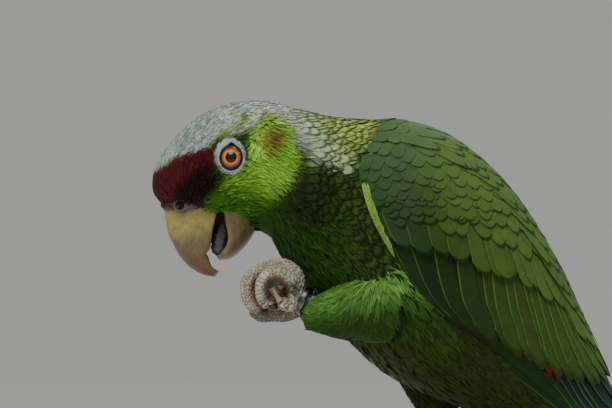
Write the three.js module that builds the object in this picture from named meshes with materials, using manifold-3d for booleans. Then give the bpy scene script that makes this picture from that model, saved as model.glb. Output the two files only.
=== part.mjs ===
// A lilac-crowned amazon parrot, life size, standing on its right foot on a cut length of
// branch, with the left foot raised as a fist. A rod and a round base hold the branch up.
// Millimetres, +Z up. The bird faces -X and its left side is -Y. The origin is the middle
// of the base's underside.

import * as THREE from 'three';
import { LoftGeometry } from 'three/addons/geometries/LoftGeometry.js';
import { mergeVertices } from 'three/addons/utils/BufferGeometryUtils.js';
import Module from 'manifold-3d';

const wasm = await Module();
wasm.setup();

// ---- driving dimensions ----

const gap = 0.3; // clear space between neighbouring pieces
const skinGap = 1.2; // clear space under a folded wing

const base = { radius: 70, thickness: 12, edge: 5 };
const rod = { radius: 5, seatInBase: 7, seatInPerch: 8 };
const perch = { radius: 13, length: 118, height: 112, knot: 1.1 };

const eye = { x: -68.5, z: 233.3, station: 4.45, angle: 76, radius: 5.2, sunk: 3.7 };
const eyeRing = { aperture: 4.3, rim: 6.2, lip: 0.9, wide: 0.93, tall: 1.07, proud: 1.1, deep: 1.7 };
const nostril = { x: -86.1, y: 6.9, z: 217.4, rim: 3, hole: 1, depth: 2 };
const band = { x: -43.8, y: -18, z: 184.7, inner: 3.8, outer: 4.7, width: 2.2 };

const fistMiddle = -17.5; // the fist's middle, across the bird
const footOnPerch = { y: 5, toeBase: 2.7, toeTip: 2.1, parting: 1.9, spread: 4.5 };
const perchClaw = { turn: 30, start: 4, lift: 2.6, arch: 1.5, dip: 2.2, slant: 1.4 };
const clawSize = { base: 1.7, point: 0.3 };

// The tail is a fan of feathers on a line that falls away behind the rump.
const tail = {
  root: [63.5, 132.5],
  slope: 58.5,
  length: 131,
  feathers: 12,
  thickness: 2.8,
  rootHalf: 10,
  tipHalf: 17.5,
  camber: 0.13,
  rounding: 11,
  notch: 4,
};

// ---- stations: back line x, z, belly line x, z, half width ----

const bodyStations = [
  [-92.5, 217.1, -71.8, 216.1, 8.9],
  [-95.6, 221.9, -65.5, 212.6, 11.3],
  [-95.2, 228.8, -60.0, 209.2, 13.6],
  [-90.4, 237.5, -57.6, 207.8, 15.9],
  [-81.8, 246.4, -56.2, 206.8, 17.8],
  [-69.7, 252.0, -55.2, 206.1, 19.0],
  [-57.3, 253.2, -53.8, 204.0, 19.6],
  [-44.8, 250.2, -50.7, 198.5, 21.0],
  [-32.8, 247.6, -46.9, 192.3, 25.0],
  [-21.4, 246.8, -42.1, 185.4, 30.0],
  [-9.3, 246.1, -35.2, 177.4, 34.5],
  [6.9, 238.8, -26.9, 168.8, 37.0],
  [21.7, 225.1, -16.6, 159.5, 37.5],
  [33.8, 207.1, -3.4, 152.3, 35.0],
  [44.2, 187.1, 12.1, 146.7, 29.5],
  [52.8, 169.8, 26.9, 142.2, 22.0],
  [60.0, 155.4, 40.4, 137.4, 15.0],
  [66.2, 144.3, 52.4, 131.9, 10.5],
];

// The folded wings keep to the body as far as the flank, then close over the tail.
const flankStation = 15;
const wingStations = [
  ...bodyStations.slice(0, flankStation),
  [52.8, 169.8, 26.9, 142.2, 23.0],
  [60.0, 155.4, 40.4, 137.4, 18.5],
  [66.2, 144.3, 52.4, 131.9, 17.0],
  [76.1, 126.8, 64.7, 119.8, 16.0],
  [88.2, 105.2, 78.7, 99.3, 15.5],
  [98.6, 86.6, 90.5, 81.6, 14.5],
];

const rumpStations = [
  [66.2, 144.3, 52.4, 131.9, 10.5],
  [74.2, 125.6, 62.6, 117.6, 11.4],
  [85.6, 103.6, 77.2, 98.3, 11.6],
  [95.6, 84.7, 91.4, 82.1, 10.8],
  [103.0, 71.8, 101.4, 70.8, 8.0],
];

const cereStations = [
  [-92.4, 219.4, -72.4, 217.6, 9.4],
  [-92.6, 217.3, -72.6, 216.9, 9.7],
  [-91.9, 215.2, -73.2, 215.9, 9.5],
];

const upperBillStations = [
  [-91.9, 216.4, -73.2, 216.6, 9.3],
  [-91.3, 212.6, -73.8, 213.3, 9.0],
  [-90.4, 207.5, -74.9, 208.5, 8.0],
  [-88.7, 203.7, -75.4, 205.0, 7.0],
  [-86.2, 199.3, -75.9, 201.9, 5.8],
  [-82.5, 195.4, -76.4, 199.2, 4.3],
  [-78.0, 193.0, -75.2, 195.9, 2.8],
  [-74.2, 192.3, -72.8, 194.3, 1.3],
];

const lowerBillStations = [
  [-70.6, 219.5, -57.6, 214.6, 8.8],
  [-71.1, 216.1, -59.5, 211.2, 8.6],
  [-70.6, 211.2, -60.7, 207.5, 8.3],
  [-69.7, 207.1, -63.1, 203.7, 7.6],
  [-70.0, 204.0, -65.9, 200.6, 6.6],
  [-71.4, 201.6, -69.3, 198.5, 5.2],
  [-73.5, 199.5, -72.8, 198.0, 3.6],
];

// ---- small mathematics ----

const degrees = Math.PI / 180;
const clamp01 = (x) => Math.min(1, Math.max(0, x));
const steps = (count) => Array.from({ length: count + 1 }, (_, i) => i / count);
const vector = ([x, y, z]) => new THREE.Vector3(x, y, z);
const up = new THREE.Vector3(0, 0, 1);

// ---- solids ----

// Welds a geometry's vertices, drops the slivers at its poles and turns it the right way out.
function weld(geometry) {
  const bare = new THREE.BufferGeometry();
  bare.setAttribute('position', geometry.attributes.position);
  bare.setIndex(geometry.index);
  const merged = mergeVertices(bare, 1e-4);
  const points = merged.attributes.position.array;
  const faces = [];
  const index = merged.index.array;
  for (let i = 0; i < index.length; i += 3) {
    const [a, b, c] = index.slice(i, i + 3);
    if (a !== b && b !== c && c !== a) faces.push(a, b, c);
  }
  if (signedVolume(points, faces) < 0) faces.reverse();
  return { points, faces };
}

function signedVolume(points, faces) {
  const corner = (i) => new THREE.Vector3().fromArray(points, 3 * i);
  let volume = 0;
  for (let i = 0; i < faces.length; i += 3) {
    const [a, b, c] = faces.slice(i, i + 3).map(corner);
    volume += a.dot(b.cross(c)) / 6;
  }
  return volume;
}

function solid(geometry) {
  const { points, faces } = weld(geometry);
  const mesh = new wasm.Mesh({
    numProp: 3,
    vertProperties: new Float32Array(points),
    triVerts: new Uint32Array(faces),
  });
  return new wasm.Manifold(mesh);
}

const cut = (body, ...tools) => tools.reduce((left, tool) => left.subtract(tool), body);

// Keeps the largest of the loose bodies that a cut leaves.
function largest(body) {
  return body.decompose().reduce((best, piece) => (piece.volume() > best.volume() ? piece : best));
}

function geometryOf(body) {
  const { vertProperties, triVerts } = body.getMesh();
  const geometry = new THREE.BufferGeometry();
  geometry.setAttribute('position', new THREE.BufferAttribute(vertProperties, 3));
  geometry.setIndex(new THREE.BufferAttribute(triVerts, 1));
  geometry.computeVertexNormals();
  return geometry;
}

// The way that a closed outline turns, as a vector along the axis it turns about.
function turnOf(outline) {
  const turn = new THREE.Vector3();
  outline.forEach((point, i) => {
    turn.add(point.clone().cross(outline[(i + 1) % outline.length]));
  });
  return turn;
}

// A closed skin through sections. LoftGeometry wants them counterclockwise from the far end.
function loftSolid(sections) {
  const centre = (section) => section.reduce((sum, p) => sum.add(p), new THREE.Vector3());
  const ahead = centre(sections[1]).sub(centre(sections[0]));
  const wellTurned = turnOf(sections[0]).dot(ahead) > 0;
  const ordered = wellTurned ? sections : sections.map((section) => [...section].reverse());
  return solid(new LoftGeometry(ordered, { capStart: true, capEnd: true }));
}

// A closed shell between two faces that share one grid of rows and columns.
function shellSolid(outer, inner) {
  const lastRow = outer.length - 1;
  const lastColumn = outer[0].length - 1;
  const place = (face) => (row, column) => (face * (lastRow + 1) + row) * (lastColumn + 1) + column;
  const [front, back] = [place(0), place(1)];
  const index = [];
  const quad = (a, b, c, d) => index.push(a, b, c, a, c, d);
  for (let r = 0; r < lastRow; r += 1) {
    for (let c = 0; c < lastColumn; c += 1) {
      quad(front(r, c), front(r, c + 1), front(r + 1, c + 1), front(r + 1, c));
      quad(back(r, c), back(r + 1, c), back(r + 1, c + 1), back(r, c + 1));
    }
    quad(front(r + 1, 0), back(r + 1, 0), back(r, 0), front(r, 0));
    quad(front(r, lastColumn), back(r, lastColumn), back(r + 1, lastColumn), front(r + 1, lastColumn));
  }
  for (let c = 0; c < lastColumn; c += 1) {
    quad(front(0, c), back(0, c), back(0, c + 1), front(0, c + 1));
    quad(front(lastRow, c + 1), back(lastRow, c + 1), back(lastRow, c), front(lastRow, c));
  }
  const geometry = new THREE.BufferGeometry().setFromPoints([...outer.flat(), ...inner.flat()]);
  geometry.setIndex(index);
  return solid(geometry);
}

// ---- lofts through stations ----

function loftThrough(stations) {
  const last = stations.length - 1;
  const line = (point) => new THREE.CatmullRomCurve3(stations.map(point), false, 'catmullrom', 0.5);
  const back = line(([x, z]) => new THREE.Vector3(x, 0, z));
  const belly = line(([, , x, z]) => new THREE.Vector3(x, 0, z));
  const side = line(([, , , , width]) => new THREE.Vector3(width, 0, 0));
  const across = back.getPoint(0.5).sub(belly.getPoint(0.5));
  const sense = Math.sign(back.getTangent(0.5).dot(new THREE.Vector3(across.z, 0, -across.x)));

  function frame(station) {
    const t = station / last;
    const top = back.getPoint(t);
    const bottom = belly.getPoint(t);
    const up = top.clone().sub(bottom);
    const depth = up.length() / 2;
    up.normalize();
    const along = new THREE.Vector3(up.z, 0, -up.x).multiplyScalar(sense);
    return { middle: top.add(bottom).multiplyScalar(0.5), up, along, depth, width: side.getPoint(t).x };
  }

  // A point on the oval section: the angle is 0 on the back and 90 on the bird's side.
  function skin(station, angle) {
    const { middle, up, depth, width } = frame(station);
    return middle.addScaledVector(up, depth * Math.cos(angle * degrees))
      .add(new THREE.Vector3(0, width * Math.sin(angle * degrees), 0));
  }

  // The same point, lifted off the skin.
  function point(station, angle, lift = 0) {
    const here = skin(station, angle);
    if (lift === 0) return here;
    const [before, after] = [Math.max(0, station - 0.01), Math.min(last, station + 0.01)];
    const along = skin(after, angle).sub(skin(before, angle));
    const round = skin(station, angle + 0.5).sub(skin(station, angle - 0.5));
    const normal = along.cross(round).normalize();
    return here.addScaledVector(normal, sense * lift);
  }

  return { last, frame, point };
}

// A closed length of a loft. The trims pull its two ends in along the body.
function loftPiece(loft, { from = 0, to = loft.last, rows, sides = 24, grow = 0, trims = [0, 0] }) {
  const stations = steps(rows).map((t) => from + (to - from) * t);
  const sections = stations.map((station, row) => {
    const { along } = loft.frame(station);
    let shift = 0;
    if (row === 0) shift = trims[0] - grow;
    if (row === rows) shift = grow - trims[1];
    return steps(sides).slice(0, sides)
      .map((turn) => loft.point(station, 360 * turn, grow).addScaledVector(along, shift));
  });
  return loftSolid(sections);
}

// A round limb along a smooth path, its ends domed or square. A path point is x, y, z, radius.
function limb(path, { rows = 6, sides = 8, grow = 0, blunt = 1, domed = true } = {}) {
  const curve = new THREE.CatmullRomCurve3(path.map(vector), false, 'centripetal');
  const radii = new THREE.CatmullRomCurve3(path.map((p) => new THREE.Vector3(p[3], 0, 0)));
  const { tangents, normals, binormals } = curve.computeFrenetFrames(rows, false);
  const ring = (row, scale, shift) => {
    const t = row / rows;
    const radius = radii.getPoint(curve.getUtoTmapping(t)).x + grow;
    const centre = curve.getPointAt(t).addScaledVector(tangents[row], shift * radius * blunt);
    return steps(sides).slice(0, sides).map((turn) => {
      const angle = 360 * turn * degrees;
      return centre.clone()
        .addScaledVector(normals[row], radius * scale * Math.cos(angle))
        .addScaledVector(binormals[row], radius * scale * Math.sin(angle));
    });
  };
  const sections = [];
  for (let row = 0; row <= rows; row += 1) sections.push(ring(row, 1, 0));
  if (domed) {
    sections.unshift(ring(0, 0.35, -0.94), ring(0, 0.8, -0.6));
    sections.push(ring(rows, 0.8, 0.6), ring(rows, 0.35, 0.94));
  }
  return loftSolid(sections);
}

function ellipsoid([x, y, z], [rx, ry, rz], grow = 0, [round, rows] = [10, 6]) {
  const ball = new THREE.SphereGeometry(1, round, rows);
  ball.scale(rx + grow, ry + grow, rz + grow).translate(x, y, z);
  return solid(ball);
}

// A turned piece: the profile is radius, height, and its axis runs from the place given. The
// stretch is its width and its height where the axis is level.
function turned(profile, place, axis, segments = 24, stretch = [1, 1]) {
  const lathe = new THREE.LatheGeometry(profile.map(([r, h]) => new THREE.Vector2(r, h)), segments);
  lathe.scale(stretch[0], 1, stretch[1]);
  const steep = Math.abs(axis.z) > 0.99;
  const beside = axis.clone().cross(steep ? new THREE.Vector3(1, 0, 0) : up).normalize();
  const above = beside.clone().cross(axis);
  lathe.applyMatrix4(new THREE.Matrix4().makeBasis(beside, axis, above).setPosition(place));
  return solid(lathe);
}

const rodProfile = (radius, length) => [[0, 0], [radius, 0], [radius, length], [0, length]];

// ---- head, neck and trunk ----

const body = loftThrough(bodyStations);
const neckAt = 6.2; // stations where the head, the neck and the trunk part
const shoulderAt = 8;

const headSolid = (grow = 0) => loftPiece(body, {
  to: neckAt, rows: 9, sides: 20, grow, trims: [0, gap / 2],
});
const neckSolid = () => loftPiece(body, {
  from: neckAt, to: shoulderAt, rows: 3, sides: 20, trims: [gap / 2, gap / 2],
});
const trunkSolid = (grow = 0) => loftPiece(body, {
  from: shoulderAt, rows: 11, sides: 24, grow, trims: [gap / 2, gap / 2],
});

// ---- face ----

const cereLoft = loftThrough(cereStations);
const upperBillLoft = loftThrough(upperBillStations);
const lowerBillLoft = loftThrough(lowerBillStations);

function cereSolid(grow = 0) {
  let cere = loftPiece(cereLoft, { rows: 2, sides: 14, grow });
  for (const side of [-1, 1]) {
    const place = [nostril.x, side * nostril.y, nostril.z];
    cere = cere.add(ellipsoid(place, [nostril.rim, nostril.rim, nostril.rim], grow, [8, 5]));
  }
  return cere;
}

function nostrilBore(side) {
  const { x, y, z, rim, hole, depth } = nostril;
  const mouth = new THREE.Vector3(x, side * (y + 1.5 * rim), z);
  return turned(rodProfile(hole, 0.5 * rim + depth), mouth, new THREE.Vector3(0, -side, 0), 8);
}

const tonguePath = [
  [-68.6, 0, 215.5, 3.6], [-71.2, 0, 210, 3.7], [-72.4, 0, 205, 3.7], [-72.9, 0, 202.4, 3],
];
const tongueSolid = (grow = 0) => limb(tonguePath, { rows: 3, sides: 10, grow, blunt: 0.8 });

const upperBillSolid = (grow = 0) => loftPiece(upperBillLoft, { rows: 8, sides: 12, grow });
const lowerBillSolid = (grow = 0) => loftPiece(lowerBillLoft, { rows: 5, sides: 12, grow });

// Where an eye sits: on the side of the head, looking a little forward and up.
function eyeSeat(side) {
  const surface = body.point(eye.station, side * eye.angle);
  const look = new THREE.Vector3(-0.13, side, 0.09).normalize();
  const rim = new THREE.Vector3(eye.x, surface.y, eye.z);
  return { look, rim, centre: rim.clone().addScaledVector(look, -eye.sunk) };
}

function eyeballSolid(side) {
  const { centre } = eyeSeat(side);
  return ellipsoid(centre.toArray(), [eye.radius, eye.radius, eye.radius], 0, [14, 9]);
}

// The bare lids round the eye. The inner face clears the eyeball behind them.
function eyeRingSolid(side) {
  const { look, rim } = eyeSeat(side);
  const { aperture, rim: outer, lip, wide, tall, proud, deep } = eyeRing;
  const profile = [
    [aperture, 0],
    [aperture, 0.7 * proud],
    [outer - lip, proud],
    [outer, -0.3 * proud],
    [outer, -deep],
    [outer - 0.5 * lip, -deep],
    [aperture, 0],
  ];
  return turned(profile, rim, look, 16, [wide, tall]);
}

// The hollow in the head that takes an eyeball and its lids.
function eyeSocket(side) {
  const { look, rim } = eyeSeat(side);
  const { rim: outer, wide, tall } = eyeRing;
  const room = outer + 2 * gap;
  const floor = eye.sunk + 2 * gap;
  const mouth = 2 * eye.sunk;
  const profile = [
    [0, -floor - eye.radius],
    [0.8 * eye.radius, -floor - 0.8 * eye.radius],
    [room, -eye.sunk],
    [room, mouth],
    [0, mouth],
  ];
  return turned(profile, rim, look, 14, [wide, tall]);
}

// ---- folded wings ----

const wing = loftThrough(wingStations);
const wingEdge = 107; // the angle of the wing's lower edge on the body
const wingTip = wingStations.length - 1;

// The wing's upper edge starts wide of the back and closes on the midline over the tail.
const upperEdge = (station) => 5 + 19 * Math.exp((10 - station) / 3.6);
const lowerEdge = (station) => wingEdge - 14 * Math.max(0, station - 16.5);

// Wing angle 0 is the upper edge and 107 the lower edge, at every station.
function wingPoint(station, wingAngle, offset, side) {
  const upper = upperEdge(station);
  const angle = upper + (wingAngle / wingEdge) * (lowerEdge(station) - upper);
  return wing.point(station, side * angle, offset);
}

const frontOf = (angle) => 9.3 - Math.log(Math.min(57, 106 - angle) / 57);
const covertsEnd = (angle) => 14.6 - 3.6 * (angle / 88) ** 2.2;
const secondariesEnd = (angle) => 16 - 3.05 * (angle / 99) ** 5;
const primariesEnd = (angle) => wingTip - 3.3 * Math.abs(angle / wingEdge - 0.45) ** 1.6;
const wingGap = 0.05; // the gap between rows of feathers, in stations

const wingParts = {
  coverts: { reach: 90, thickness: 5.6, lobes: 6, lobe: 0.22, from: frontOf, to: covertsEnd },
  secondaries: {
    reach: 102,
    thickness: 3.9,
    lobes: 6,
    lobe: 0.3,
    from: (angle) => Math.max(covertsEnd(angle) + wingGap, frontOf(angle)),
    to: secondariesEnd,
  },
  primaries: {
    reach: 105,
    thickness: 2.5,
    lobes: 6,
    lobe: 0.3,
    from: (angle) => Math.max(secondariesEnd(angle) + wingGap, frontOf(angle)),
    to: primariesEnd,
  },
};

// Each row of feathers is a shell over the body: thin at its borders, with a round lobe at
// the end of each feather.
function wingSolid(part, side, grow = 0) {
  const { reach, thickness, lobes, lobe, from, to } = wingParts[part];
  const across = steps(lobes * 3);
  const along = steps(4);
  const swell = (x, border, least = 0.3) => least + (1 - least) * Math.sqrt(clamp01(x / border));
  const face = (offset) => along.map((v) => across.map((u) => {
    const angle = reach * u;
    const notch = lobe * (1 - Math.abs(Math.sin(Math.PI * lobes * u)) ** 0.6);
    const start = from(angle);
    const end = Math.max(start + 0.12, to(angle) - notch);
    return wingPoint(start + (end - start) * v, angle, offset(u, v), side);
  }));
  const outer = face((u, v) => {
    const round = Math.min(swell(u, 0.12, 0.7), swell(1 - u, 0.1), swell(v, 0.3), swell(1 - v, 0.15));
    return skinGap + grow + thickness * round;
  });
  const inner = face(() => skinGap - grow);
  return shellSolid(outer, inner);
}

// ---- tail ----

// A point of the tail's fan: u runs from its left edge to its right, v from root to tip.
function tailPoint(u, v, lift) {
  const { root, slope, length, feathers, rootHalf, tipHalf, camber, rounding, notch } = tail;
  const out = 2 * u - 1;
  const lobe = 1 - Math.abs(Math.sin(Math.PI * feathers * u)) ** 0.6;
  const along = v * (length - rounding * out * out - notch * lobe);
  const half = rootHalf + (tipHalf - rootHalf) * Math.sin(0.5 * Math.PI * v) ** 1.5;
  const height = lift - camber * out * out * half;
  const [c, s] = [Math.cos(slope * degrees), Math.sin(slope * degrees)];
  const [x, z] = [root[0] + along * c + height * s, root[1] - along * s + height * c];
  return new THREE.Vector3(x, half * out, z);
}

// The fan thins towards its edges and its tip. The rump's cone tapers down over its root.
function tailSolid() {
  const rump = loftPiece(loftThrough(rumpStations), { rows: 5, sides: 14, trims: [gap, 0] });
  const across = steps(tail.feathers * 2);
  const face = (sign) => steps(3).map((v) => across.map((u) => {
    const thin = 1 - 0.45 * Math.abs(2 * u - 1) ** 2 - 0.3 * v;
    return tailPoint(u, v, 0.5 * sign * tail.thickness * thin);
  }));
  return shellSolid(face(1), face(-1)).add(rump);
}

// ---- legs ----

const thighPaths = {
  left: [
    [-4, -24, 185, 13.5], [-19, -25, 182.3, 12.6], [-29.3, -23.2, 180.6, 9.9],
    [-37.3, -20.4, 179.6, 7], [-42.6, -18.5, 178.7, 4.6],
  ],
  right: [[-6, 18, 172.5, 12], [-1, 16.5, 160, 10.5], [3, 13.5, 148.1, 7.6], [5, 10.5, 142.4, 4.8]],
};

const heel = { left: [-35.5, -20, 180.3, 3.1], right: [6.2, 10.5, 141.5, 3.3] };
const ankle = { left: [-45.2, -17.7, 185.3, 3.1], right: [0.6, 5.6, 131, 3.3] };
const sole = { left: [-48.2, fistMiddle, 187, 0], right: [0, footOnPerch.y, 129.3, 0] };
const soleRadii = { left: [2.7, 4.6, 4.4], right: [4.3, 4.3, 3.4] };

const thighSolid = (side, grow = 0) => limb(thighPaths[side], { rows: 4, sides: 10, grow });

function tarsusSolid(side, grow = 0) {
  const shank = limb([heel[side], ankle[side], [...sole[side].slice(0, 3), 3]], { rows: 3, grow });
  return shank.add(ellipsoid(sole[side], soleRadii[side], grow));
}

// The raised toes curl round the middle of the fist. Here y is out from the fist's middle.
const fistToes = {
  1: [[-45.6, -4, 184, 2.5], [-48.2, -5.8, 182.9, 2.4], [-50.6, -6.1, 183.5, 2.2]],
  2: [
    [-48.4, -4, 191.2, 2.8], [-51.6, -5.3, 193.4, 2.7], [-55, -5.9, 193.1, 2.6],
    [-57.4, -6.1, 190.9, 2.5], [-57.9, -5.9, 187.8, 2.4], [-57.3, -5.5, 185, 2.3],
    [-56, -5.3, 183.4, 2.1],
  ],
  3: [
    [-45.9, 1, 189.6, 3], [-46.7, 1.3, 193.2, 3], [-50.2, 1.9, 195.8, 3],
    [-54, 2.3, 195.6, 2.9], [-58.3, 1.9, 194.4, 2.8], [-62, 1.3, 191.6, 2.7],
    [-63, 0.5, 187.6, 2.6], [-61.6, -0.3, 183.4, 2.4], [-59.3, -0.7, 181.2, 2.2],
  ],
  4: [
    [-46.6, 2, 180.8, 2.6], [-50, 2.9, 179.6, 2.6], [-54, 3.5, 179.6, 2.5],
    [-58, 3.7, 179.3, 2.4], [-60.6, 3.7, 180.6, 2.1],
  ],
};

// Each claw carries on from its toe's tip.
const fistClaws = {
  1: [[-51.6, -6.3, 184.2], [-53, -6.4, 186.2], [-54, -6.4, 188.3]],
  2: [[-55.2, -5.2, 182.7], [-53, -4.1, 182.4], [-51.2, -2.5, 184]],
  3: [[-58.4, -0.8, 180.5], [-56.4, -0.9, 180.6], [-54.4, -0.9, 182.4]],
  4: [[-61.2, 3.7, 181.2], [-61.4, 3.6, 183.4], [-59.8, 3.5, 185.4]],
};
const inFist = (path) => path.map(([x, out, ...rest]) => [x, fistMiddle + out, ...rest]);

// A toe on the perch follows the wood from one angle to another and slants outwards.
const perchToes = {
  1: { from: 78, to: 22, across: -0.9 },
  2: { from: 102, to: 168, across: -1 },
  3: { from: 102, to: 190, across: 1 },
  4: { from: 78, to: 2, across: 1 },
};

function pointOnPerch(angle, y, lift) {
  const reach = perch.radius + gap + lift;
  return [reach * Math.cos(angle * degrees), y, perch.height + reach * Math.sin(angle * degrees)];
}

function perchToePath({ from, to, across }) {
  const { y: middle, toeBase, toeTip, parting, spread } = footOnPerch;
  return steps(4).map((t) => {
    const radius = toeBase + (toeTip - toeBase) * t;
    const y = middle + across * (parting + spread * t);
    return [...pointOnPerch(from + (to - from) * t, y, radius), radius];
  });
}

// A claw on the perch arches off its toe's tip and dips back to the wood at its point.
function perchClawPath({ from, to, across }) {
  const { turn, start, lift, arch, dip, slant } = perchClaw;
  const way = Math.sign(to - from);
  const root = footOnPerch.y + across * (footOnPerch.parting + footOnPerch.spread);
  return steps(4).map((t) => {
    const height = lift + arch * Math.sin(Math.PI * Math.min(t, 0.6)) - dip * t * t;
    return pointOnPerch(to + way * (start + turn * t), root + across * slant * t, height);
  });
}

// Tapers a path of three or more points to a claw.
function clawPath(points) {
  const last = points.length - 1;
  return points.map((p, i) => [...p, clawSize.base + (clawSize.point - clawSize.base) * (i / last)]);
}

const toePaths = (number) => ({
  left: inFist(fistToes[number]), right: perchToePath(perchToes[number]),
});
const clawPaths = (number) => ({
  left: clawPath(inFist(fistClaws[number])), right: clawPath(perchClawPath(perchToes[number])),
});

const toeSolid = (side, number, grow = 0) => limb(toePaths(number)[side], {
  rows: number === 3 ? 6 : 4, sides: 6, grow,
});
const clawSolid = (side, number, grow = 0) => limb(clawPaths(number)[side], {
  rows: 3, sides: 5, grow, domed: false,
});

// ---- leg band ----

const shankAxis = vector(ankle.left).sub(vector(heel.left)).normalize();
const bandPlace = new THREE.Vector3(band.x, band.y, band.z);

function bandSolid() {
  const { inner, outer, width } = band;
  const edge = 0.3;
  const profile = [
    [inner, 0], [outer - edge, 0], [outer, edge], [outer, width - edge], [outer - edge, width],
    [inner, width], [inner, 0],
  ];
  return turned(profile, bandPlace.clone().addScaledVector(shankAxis, -width / 2), shankAxis, 16);
}

// The clear room round the band, from its heel side on towards the toes.
function bandRoom(spare, reach) {
  const start = bandPlace.clone().addScaledVector(shankAxis, -band.width / 2 - gap);
  return turned(rodProfile(band.outer + spare, reach), start, shankAxis, 16);
}

// ---- perch and stand ----

// A cut length of branch: two low knots and a slight waist, with clean sawn ends.
function perchSolid() {
  const sections = steps(7).map((t) => {
    const y = perch.length * (t - 0.5);
    return steps(16).slice(0, 16).map((turn) => {
      const angle = 360 * turn * degrees;
      const wave = Math.sin(3 * angle + 5 * t) + Math.sin(2 * angle - 9 * t);
      const radius = perch.radius - perch.knot * (0.5 + 0.18 * wave);
      return new THREE.Vector3(radius * Math.cos(angle), y, perch.height + radius * Math.sin(angle));
    });
  });
  const wood = loftSolid(sections);
  const below = new THREE.Vector3(0, 0, perch.height - 2 * perch.radius);
  const depth = rodTop() + gap - below.z;
  return wood.subtract(turned(rodProfile(rod.radius + gap, depth), below, up, 16));
}

const rodBottom = () => base.thickness - rod.seatInBase;
const rodTop = () => perch.height - perch.radius + rod.seatInPerch;

const rodSolid = () => turned(
  rodProfile(rod.radius, rodTop() - rodBottom()), new THREE.Vector3(0, 0, rodBottom()), up, 16,
);

function baseSolid() {
  const { radius, thickness, edge } = base;
  const profile = [[0, 0], [radius, 0]];
  for (const t of steps(2)) {
    const angle = 90 * t * degrees;
    profile.push([radius - edge * (1 - Math.cos(angle)), thickness - edge * (1 - Math.sin(angle))]);
  }
  profile.push([0, thickness]);
  const disc = turned(profile, new THREE.Vector3(), up, 28);
  const seat = new THREE.Vector3(0, 0, rodBottom() - gap);
  return disc.subtract(turned(rodProfile(rod.radius + gap, base.thickness), seat, up, 16));
}

// ---- materials ----

const finish = (color, roughness, metalness = 0) => new THREE.MeshStandardMaterial({
  color, roughness, metalness,
});
const materials = {
  crown: finish(0x8d9aa0, 0.8),
  plumage: finish(0x4d7d22, 0.75),
  darkPlumage: finish(0x2e5519, 0.75),
  flight: finish(0x2f6b2a, 0.65),
  eye: finish(0xc25a12, 0.1),
  bareSkin: finish(0xb4b8b4, 0.7),
  cere: finish(0x45443f, 0.7),
  horn: finish(0xb89a5a, 0.45),
  tongue: finish(0x2b2d30, 0.6),
  foot: finish(0x9a9080, 0.85),
  claw: finish(0x6c6456, 0.5),
  steel: finish(0x8b9093, 0.3, 1),
  bark: finish(0x6a5139, 0.9),
  wood: finish(0x3a2416, 0.5),
};

// ---- the model ----

const model = new THREE.Group();

function place(name, body, material) {
  const mesh = new THREE.Mesh(geometryOf(largest(body)), material);
  mesh.name = name;
  model.add(mesh);
}

const sides = { left: -1, right: 1 };
const toeNumbers = [1, 2, 3, 4];

function placeHead() {
  let head = cut(headSolid(), cereSolid(gap));
  for (const side of Object.values(sides)) head = cut(head, eyeSocket(side));
  place('head', head, materials.crown);
  place('cere', cut(cereSolid(), nostrilBore(-1), nostrilBore(1)), materials.cere);
  const mouth = tongueSolid(gap);
  place('bill_upper', cut(upperBillSolid(), cereSolid(gap), headSolid(gap), mouth), materials.horn);
  place('bill_lower', cut(lowerBillSolid(), cereSolid(gap), headSolid(gap), mouth), materials.horn);
  place('tongue', cut(tongueSolid(), headSolid(gap), cereSolid(gap)), materials.tongue);
  for (const [name, side] of Object.entries(sides)) {
    place(`eye_${name}`, eyeballSolid(side), materials.eye);
    place(`eye_ring_${name}`, eyeRingSolid(side), materials.bareSkin);
  }
}

function placeBody() {
  place('neck', neckSolid(), materials.plumage);
  place('trunk', trunkSolid(), materials.plumage);
  for (const [name, side] of Object.entries(sides)) {
    for (const part of Object.keys(wingParts)) {
      place(`wing_${name}_${part}`, wingSolid(part, side), materials.flight);
    }
  }
  place('tail', tailSolid(), materials.flight);
}

function placeLeg(name) {
  const feathers = Object.keys(wingParts).map((part) => wingSolid(part, sides[name], gap));
  let thigh = cut(thighSolid(name), trunkSolid(gap), ...feathers, tarsusSolid(name, gap));
  if (name === 'left') thigh = cut(thigh, bandRoom(1, 12), toeSolid(name, 4, gap));
  place(`thigh_${name}`, thigh, materials.plumage);
  place(`tarsus_${name}`, cut(tarsusSolid(name), trunkSolid(gap)), materials.foot);
  for (const number of toeNumbers) placeToe(name, number);
}

// A toe gives way to the shank, to the band and to the toes placed before it.
function placeToe(name, number) {
  const earlier = toeNumbers.slice(0, number - 1).map((other) => toeSolid(name, other, gap));
  let toe = cut(toeSolid(name, number), tarsusSolid(name, gap), ...earlier);
  if (name === 'left') toe = cut(toe, bandRoom(gap, band.width + 2 * gap));
  place(`toe_${name}_${number}`, toe, materials.foot);
  const claw = cut(clawSolid(name, number), toeSolid(name, number, gap));
  place(`claw_${name}_${number}`, claw, materials.claw);
}

placeHead();
placeBody();
placeLeg('left');
placeLeg('right');
place('leg_band', bandSolid(), materials.steel);
place('perch', perchSolid(), materials.bark);
place('stand_rod', rodSolid(), materials.steel);
place('stand_base', baseSolid(), materials.wood);

export default model;
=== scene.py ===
import math

import bpy
import numpy as np
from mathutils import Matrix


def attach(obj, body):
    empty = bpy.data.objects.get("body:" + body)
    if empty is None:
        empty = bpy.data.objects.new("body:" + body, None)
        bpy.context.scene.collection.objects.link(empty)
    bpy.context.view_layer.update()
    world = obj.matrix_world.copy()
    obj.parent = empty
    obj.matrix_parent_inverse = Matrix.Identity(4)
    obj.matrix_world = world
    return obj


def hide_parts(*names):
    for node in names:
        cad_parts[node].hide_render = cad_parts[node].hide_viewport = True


# A lilac-crowned amazon on a cut branch, life size. Shapes are worked out in millimetres and
# go into the meshes in metres. The bird faces -X, its left side is -Y and the origin is the
# middle of the base's underside.

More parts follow.
